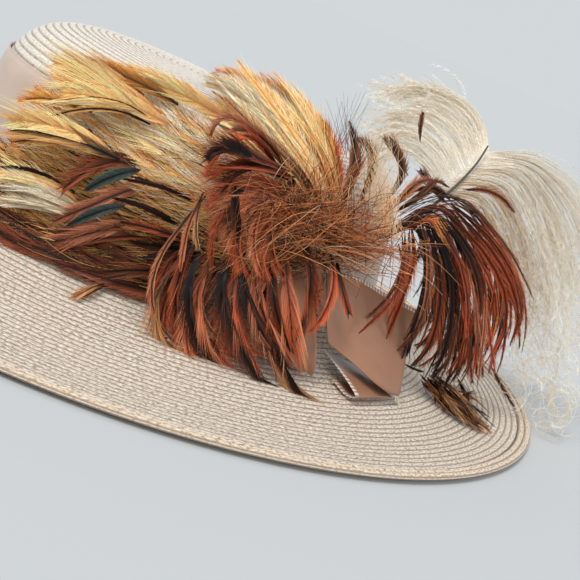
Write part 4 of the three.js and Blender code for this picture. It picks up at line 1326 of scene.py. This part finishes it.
def satin_look(name, colour):
    shader = Shader(name, {"Roughness": 0.30, "Specular IOR Level": 0.5, "Sheen Weight": 0.15,
                           "Sheen Roughness": 0.3})
    length, width = shader.uv("ribbon")
    cloud = shader.noise(60.0, 2.0)
    thread = shader.noise(1.0, 1.0, shader.joined(length * 900.0, width * 6000.0))
    tone = shader.mix(cloud.rise(0.3, 0.7), tuple(part * 0.9 for part in colour), colour)
    ladder = width.rise(0.0024, 0.0016) * (0.55 + (length * 3600.0).sine() * 0.45)
    tone = shader.mix(ladder, tone, (0.86, 0.74, 0.66))
    shader.feed(Base_Color=tone, Normal=shader.bump(thread * 0.4 + cloud * 2.5, 0.00012, 0.5))
    return shader.material


CLOTH = 0.0004  # the ribbon's thickness in metres
SEAM_GAP = 1e-5  # metres within which the band's two ends become one


def ribbon(name, points, node, look, flat, close=False):
    """A satin ribbon from a grid of points, (steps along, steps across, 3), with the cloth's thickness"""
    along, across = points.shape[:2]
    shape = bmesh.new()
    bmesh.ops.create_grid(shape, x_segments=along - 1, y_segments=across - 1, size=0.5)
    layer = shape.loops.layers.uv.new("ribbon")
    steps = np.linalg.norm(np.diff(points[:, across // 2], axis=0), axis=1)
    lengths = np.concatenate([[0], np.cumsum(steps)]) * MM
    for vert in shape.verts:
        i = round((vert.co.x + 0.5) * (along - 1))
        j = round((vert.co.y + 0.5) * (across - 1))
        for loop in vert.link_loops:
            loop[layer].uv = (lengths[i], flat[0] * j / (across - 1))
        vert.co = placed(points[i, j])
    if close:
        bmesh.ops.remove_doubles(shape, verts=shape.verts, dist=SEAM_GAP)
    piece = finished(name, mesh_from(shape, name), node, look)
    solid = piece.modifiers.new("thickness", "SOLIDIFY")
    solid.thickness, solid.offset = CLOTH, 0


# The bow's loops, each by its two edges from root to tip and back, in the hat's frame
BOW_LOOP_FRONT = (
    ((97, 26, 45), (107, 24, 41), (118, 22, 31), (124, 24, 20), (123, 27, 11.5), (115, 29, 12.5)),
    ((98, 41, 46), (109, 42, 41), (120, 45, 30), (126, 48, 19), (124, 50, 10.5), (115, 49, 12.5)),
)
BOW_LOOP_BACK = (
    ((96, 47, 50), (95, 60, 51), (92, 75, 48), (88, 91, 45), (84, 102, 43), (79, 99, 42), (79, 84, 43)),
    ((115, 54, 24), (118, 66, 20), (119, 80, 14), (115, 91, 10), (110, 98, 9), (104, 94, 10),
     (103, 82, 14)),
)
BOW_LOOP_UNDER = (
    ((107, 57, 18), (116, 62, 16), (123, 67, 13), (128.5, 71, 9), (124, 68, 6.7), (116, 63, 9)),
    ((101, 77, 13.5), (106, 84, 11.6), (109, 90, 10), (113, 95, 8.2), (109, 92, 6.9), (104, 88, 8.6)),
)
# A loop's name, edges, node and flat size, the number of its folds and their share of the set depth, and how
# many millimetres its middle swells
BOW_LOOPS = (
    ("satin_loop_front", BOW_LOOP_FRONT, "bow_loop_front", (0.021, 0.060), 1.0, 0.7, 2.4),
    ("satin_loop_back", BOW_LOOP_BACK, "bow_loop_back", (0.042, 0.098), 0.9, 0.8, 0.5),
    ("satin_loop_under", BOW_LOOP_UNDER, "bow_loop_under", (0.024, 0.038), 1.0, 0.4, 0.8),
)
# The knot's half sizes and middle, in the hat's frame
KNOT_SIZE, KNOT_PLACE = (5, 10, 7), (94, 40, 44)
BAND_OFF = 1.35  # millimetres from the crown to the middle of the band


def make_satin(settings):
    look = satin_look("satin ribbon", tuple(settings.colour))
    # The bow's loops and knot are the band's ribbon painted darker and browner, as painted shade
    shaded_bow_look = satin_look("satin bow painted shade", tuple(settings.bow))
    angle = np.linspace(0, math.tau, 241)[:, None]
    share = np.linspace(0, 1, 21)[None]
    z = BAND_FOOT + (BAND_TOP - BAND_FOOT) * share + 0 * angle
    fold = 0.35 * np.sin(share * 9 + np.sin(angle * 3) * 1.4)
    fold = fold + 0.25 * np.sin(share * 21 + np.cos(angle * 5) * 1.7)
    band = on_hat(crown_radius(z) + BAND_OFF + fold, angle + 0 * share, z)
    ribbon("satin_band", band, "hat_band", look, (0.054, 0.63), close=True)
    along, aside = np.broadcast_arrays(np.linspace(0, 1, 61)[:, None], np.linspace(0, 1, 33)[None])
    arch = np.sin(math.pi * along)
    for name, columns, node, flat, number, depth, swell in BOW_LOOPS:
        depth = depth * settings.folds / MM
        grid = sheet_points(columns, along, aside)
        gathers = np.sin(math.tau * number * (aside + 0.4 * along) + 0.8) * (1.5 - 1.2 * along) * arch**0.5
        lift = depth * gathers + swell * np.sin(math.pi * aside) * arch
        grid = grid + sheet_normals(columns, along, aside) * lift[..., None]
        ribbon(name, grid, node, shaded_bow_look, flat)
    knot = bmesh.new()
    bmesh.ops.create_uvsphere(knot, u_segments=24, v_segments=16, radius=1)
    for vert in knot.verts:
        vert.co = placed(np.array(vert.co) * KNOT_SIZE + KNOT_PLACE)
    mesh = mesh_from(knot, "satin_knot")
    mesh.uv_layers.new(name="ribbon")
    finished("satin_knot", mesh, "bow_knot", shaded_bow_look)


# The camera and the stage

# The lights: a name, where it shines from, its share of the key light, its softness and its colour
LIGHTS = (
    ("key light", (0.8, -1.0, 1.7), 1.0, 0.35, (1.0, 0.97, 0.93)),
    ("side light", (1.6, 0.9, 0.9), 0.25, 0.6, (0.97, 0.98, 1.0)),
)
FLOOR_SIZE = 60  # metres from its middle to its edges
FLOOR_DROP = 0.0002


def make_stage(settings):
    side, up, looks = (Vector(axis) for axis in view_axes())
    data = bpy.data.cameras.new("camera")
    data.lens = CAMERA_LENS
    data.sensor_width = SENSOR
    data.clip_start, data.clip_end = 0.01, 200
    camera = bpy.data.objects.new("camera", data)
    turned = Matrix((side, up, -looks)).transposed().to_4x4()
    camera.matrix_world = Matrix.Translation(Vector(placed(CAMERA_AT))) @ turned
    bpy.context.scene.collection.objects.link(camera)
    bpy.context.scene.camera = camera

    shape = bmesh.new()
    bmesh.ops.create_grid(shape, x_segments=2, y_segments=2, size=FLOOR_SIZE)
    mesh = mesh_from(shape, "floor")
    floor = bpy.data.objects.new("floor", mesh)
    floor.location.z = -FLOOR_DROP
    paint = Shader("floor paint", {"Base Color": (*settings.floor, 1), "Roughness": 1.0,
                                   "Specular IOR Level": 0.0})
    mesh.materials.append(paint.material)
    bpy.context.scene.collection.objects.link(floor)

    world = bpy.data.worlds.new("studio")
    world.use_nodes = True
    background = world.node_tree.nodes["Background"]
    background.inputs["Color"].default_value = (*settings.wall, 1)
    background.inputs["Strength"].default_value = 1.0
    bpy.context.scene.world = world
    bpy.context.scene.view_settings.view_transform = "Standard"
    for name, place, share, softness, colour in LIGHTS:
        lamp = bpy.data.lights.new(name, "SUN")
        lamp.energy, lamp.angle, lamp.color = settings.key * share, softness, colour
        light = bpy.data.objects.new(name, lamp)
        light.location = place
        light.rotation_euler = (-Vector(place)).to_track_quat("-Z", "Y").to_euler()
        bpy.context.scene.collection.objects.link(light)


# Settings that a user would change

class HAT_PG_stage(PropertyGroup):
    """The light round the hat"""

    wall: FloatVectorProperty(name="Wall", description="Colour of the room behind the hat", subtype="COLOR",
                              size=3, min=0, max=1, default=(0.650, 0.685, 0.705))
    floor: FloatVectorProperty(name="Floor", description="Colour of the surface under the hat",
                               subtype="COLOR", size=3, min=0, max=1, default=(0.565, 0.582, 0.596))
    key: FloatProperty(name="Key light", description="Strength of the main light", min=0, default=1.7)


class HAT_PG_straw(PropertyGroup):
    """The sewn braid"""

    pale: FloatVectorProperty(name="Straw", description="Colour of the straw", subtype="COLOR",
                              size=3, min=0, max=1, default=(0.76, 0.67, 0.57))
    # Colour of the seam between rows of braid, which also serves as painted shade in the grooves
    gap: FloatVectorProperty(name="Gap", description="Colour between the rows of braid", subtype="COLOR",
                             size=3, min=0, max=1, default=(0.22, 0.15, 0.105))


class HAT_PG_satin(PropertyGroup):
    """The ribbon"""

    colour: FloatVectorProperty(name="Satin", description="Colour of the ribbon", subtype="COLOR",
                                size=3, min=0, max=1, default=(0.62, 0.48, 0.39))
    # The bow's colour is the band's satin painted darker and browner: painted shade
    bow: FloatVectorProperty(name="Bow", description="Colour of the bow's shaded satin", subtype="COLOR",
                             size=3, min=0, max=1, default=(0.37, 0.18, 0.105))
    folds: FloatProperty(name="Folds", description="Depth of the bow's folds, of which each loop has a share",
                         min=0, default=0.0014, unit="LENGTH", subtype="DISTANCE", precision=4)


class HAT_PG_feathers(PropertyGroup):
    """The hackles, the burst and the plume"""

    seed: IntProperty(name="Seed", description="Which random laying of feathers is used", min=0, default=11)
    density: FloatProperty(name="Density", description="How many feathers, as a share of the usual", min=0.2,
                           max=1.2, default=1.0, subtype="FACTOR")
    barb: FloatProperty(name="Barb", description="Width of a barb at its root", min=0.0001, default=0.00034,
                        unit="LENGTH", subtype="DISTANCE", precision=5)
    barbule: FloatProperty(name="Barbule", description="Longest barbule of the ostrich plume", min=0,
                           default=0.0022, unit="LENGTH", subtype="DISTANCE", precision=4)
    plume: FloatVectorProperty(name="Plume", description="Colour of the ostrich plume", subtype="COLOR",
                               size=3, min=0, max=1, default=(0.96, 0.90, 0.80))


# One operator for the stage and for each piece or group of pieces

class HAT_OT_stage(Operator):
    """Adds the camera, the surface and the lights"""

    bl_idname = "straw_hat.stage"
    bl_label = "Stage"

    def execute(self, context):
        make_stage(context.scene.hat_stage)
        return {"FINISHED"}


class HAT_OT_straw(Operator):
    """Builds the crown, the brim and its edge from rows of sewn braid"""

    bl_idname = "straw_hat.straw"
    bl_label = "Straw"

    def execute(self, context):
        make_straw(context.scene.hat_straw)
        return {"FINISHED"}


class HAT_OT_satin(Operator):
    """Builds the satin band, the bow's loops and its knot"""

    bl_idname = "straw_hat.satin"
    bl_label = "Satin"

    def execute(self, context):
        make_satin(context.scene.hat_satin)
        return {"FINISHED"}


class HAT_OT_pad(Operator):
    """Builds the pad of golden hackles"""

    bl_idname = "straw_hat.pad"
    bl_label = "Hackle pad"

    def execute(self, context):
        make_pad(feather_look("golden vane", 0.5, 0.0), context.scene.hat_feathers)
        return {"FINISHED"}


class HAT_OT_sprays(Operator):
    """Builds the three sprays of rust, black and golden hackles"""

    bl_idname = "straw_hat.sprays"
    bl_label = "Hackle sprays"

    def execute(self, context):
        make_sprays(feather_look("hackle vane", 0.5, 0.0), context.scene.hat_feathers)
        return {"FINISHED"}


class HAT_OT_burst(Operator):
    """Builds the burst of fine brown barbs"""

    bl_idname = "straw_hat.burst"
    bl_label = "Burst of barbs"

    def execute(self, context):
        make_burst(feather_look("fine barb", 0.55, 0.0), context.scene.hat_feathers)
        return {"FINISHED"}


class HAT_OT_plume(Operator):
    """Builds the ostrich plume and its bare stem"""

    bl_idname = "straw_hat.plume"
    bl_label = "Ostrich plume"

    def execute(self, context):
        quill = Shader("bare quill", {"Base Color": (*linear(84, 76, 72), 1), "Roughness": 0.35})
        make_plume(feather_look("ostrich barb", 0.8, 0.3), quill.material, context.scene.hat_feathers)
        return {"FINISHED"}


class HAT_OT_tuft(Operator):
    """Builds the tuft of brown feathers on the brim"""

    bl_idname = "straw_hat.tuft"
    bl_label = "Brim tuft"

    def execute(self, context):
        make_tuft(feather_look("brown vane", 0.5, 0.0), context.scene.hat_feathers)
        return {"FINISHED"}


SETTINGS = {"hat_stage": HAT_PG_stage, "hat_straw": HAT_PG_straw, "hat_satin": HAT_PG_satin,
            "hat_feathers": HAT_PG_feathers}
OPERATORS = (HAT_OT_stage, HAT_OT_straw, HAT_OT_satin, HAT_OT_pad, HAT_OT_sprays, HAT_OT_burst,
             HAT_OT_plume, HAT_OT_tuft)


class HAT_PT_panel(Panel):
    """Lists the hat's settings and its pieces"""

    bl_idname = "HAT_PT_panel"
    bl_label = "Straw Hat"
    bl_space_type = "VIEW_3D"
    bl_region_type = "UI"
    bl_category = "Straw Hat"

    def draw(self, context):
        for name, group in SETTINGS.items():
            box = self.layout.box()
            for setting in group.__annotations__:
                box.prop(getattr(context.scene, name), setting)
        for operator in OPERATORS:
            self.layout.operator(operator.bl_idname)


CLASSES = (*SETTINGS.values(), *OPERATORS, HAT_PT_panel)


def register():
    for made in CLASSES:
        bpy.utils.register_class(made)
    for name, group in SETTINGS.items():
        setattr(bpy.types.Scene, name, PointerProperty(type=group))


def unregister():
    for name in SETTINGS:
        delattr(bpy.types.Scene, name)
    for made in reversed(CLASSES):
        bpy.utils.unregister_class(made)


def main():
    register()
    bpy.ops.straw_hat.stage()
    bpy.ops.straw_hat.straw()
    bpy.ops.straw_hat.satin()
    bpy.ops.straw_hat.pad()
    bpy.ops.straw_hat.sprays()
    bpy.ops.straw_hat.burst()
    bpy.ops.straw_hat.plume()
    bpy.ops.straw_hat.tuft()


if __name__ == "__main__":
    main()
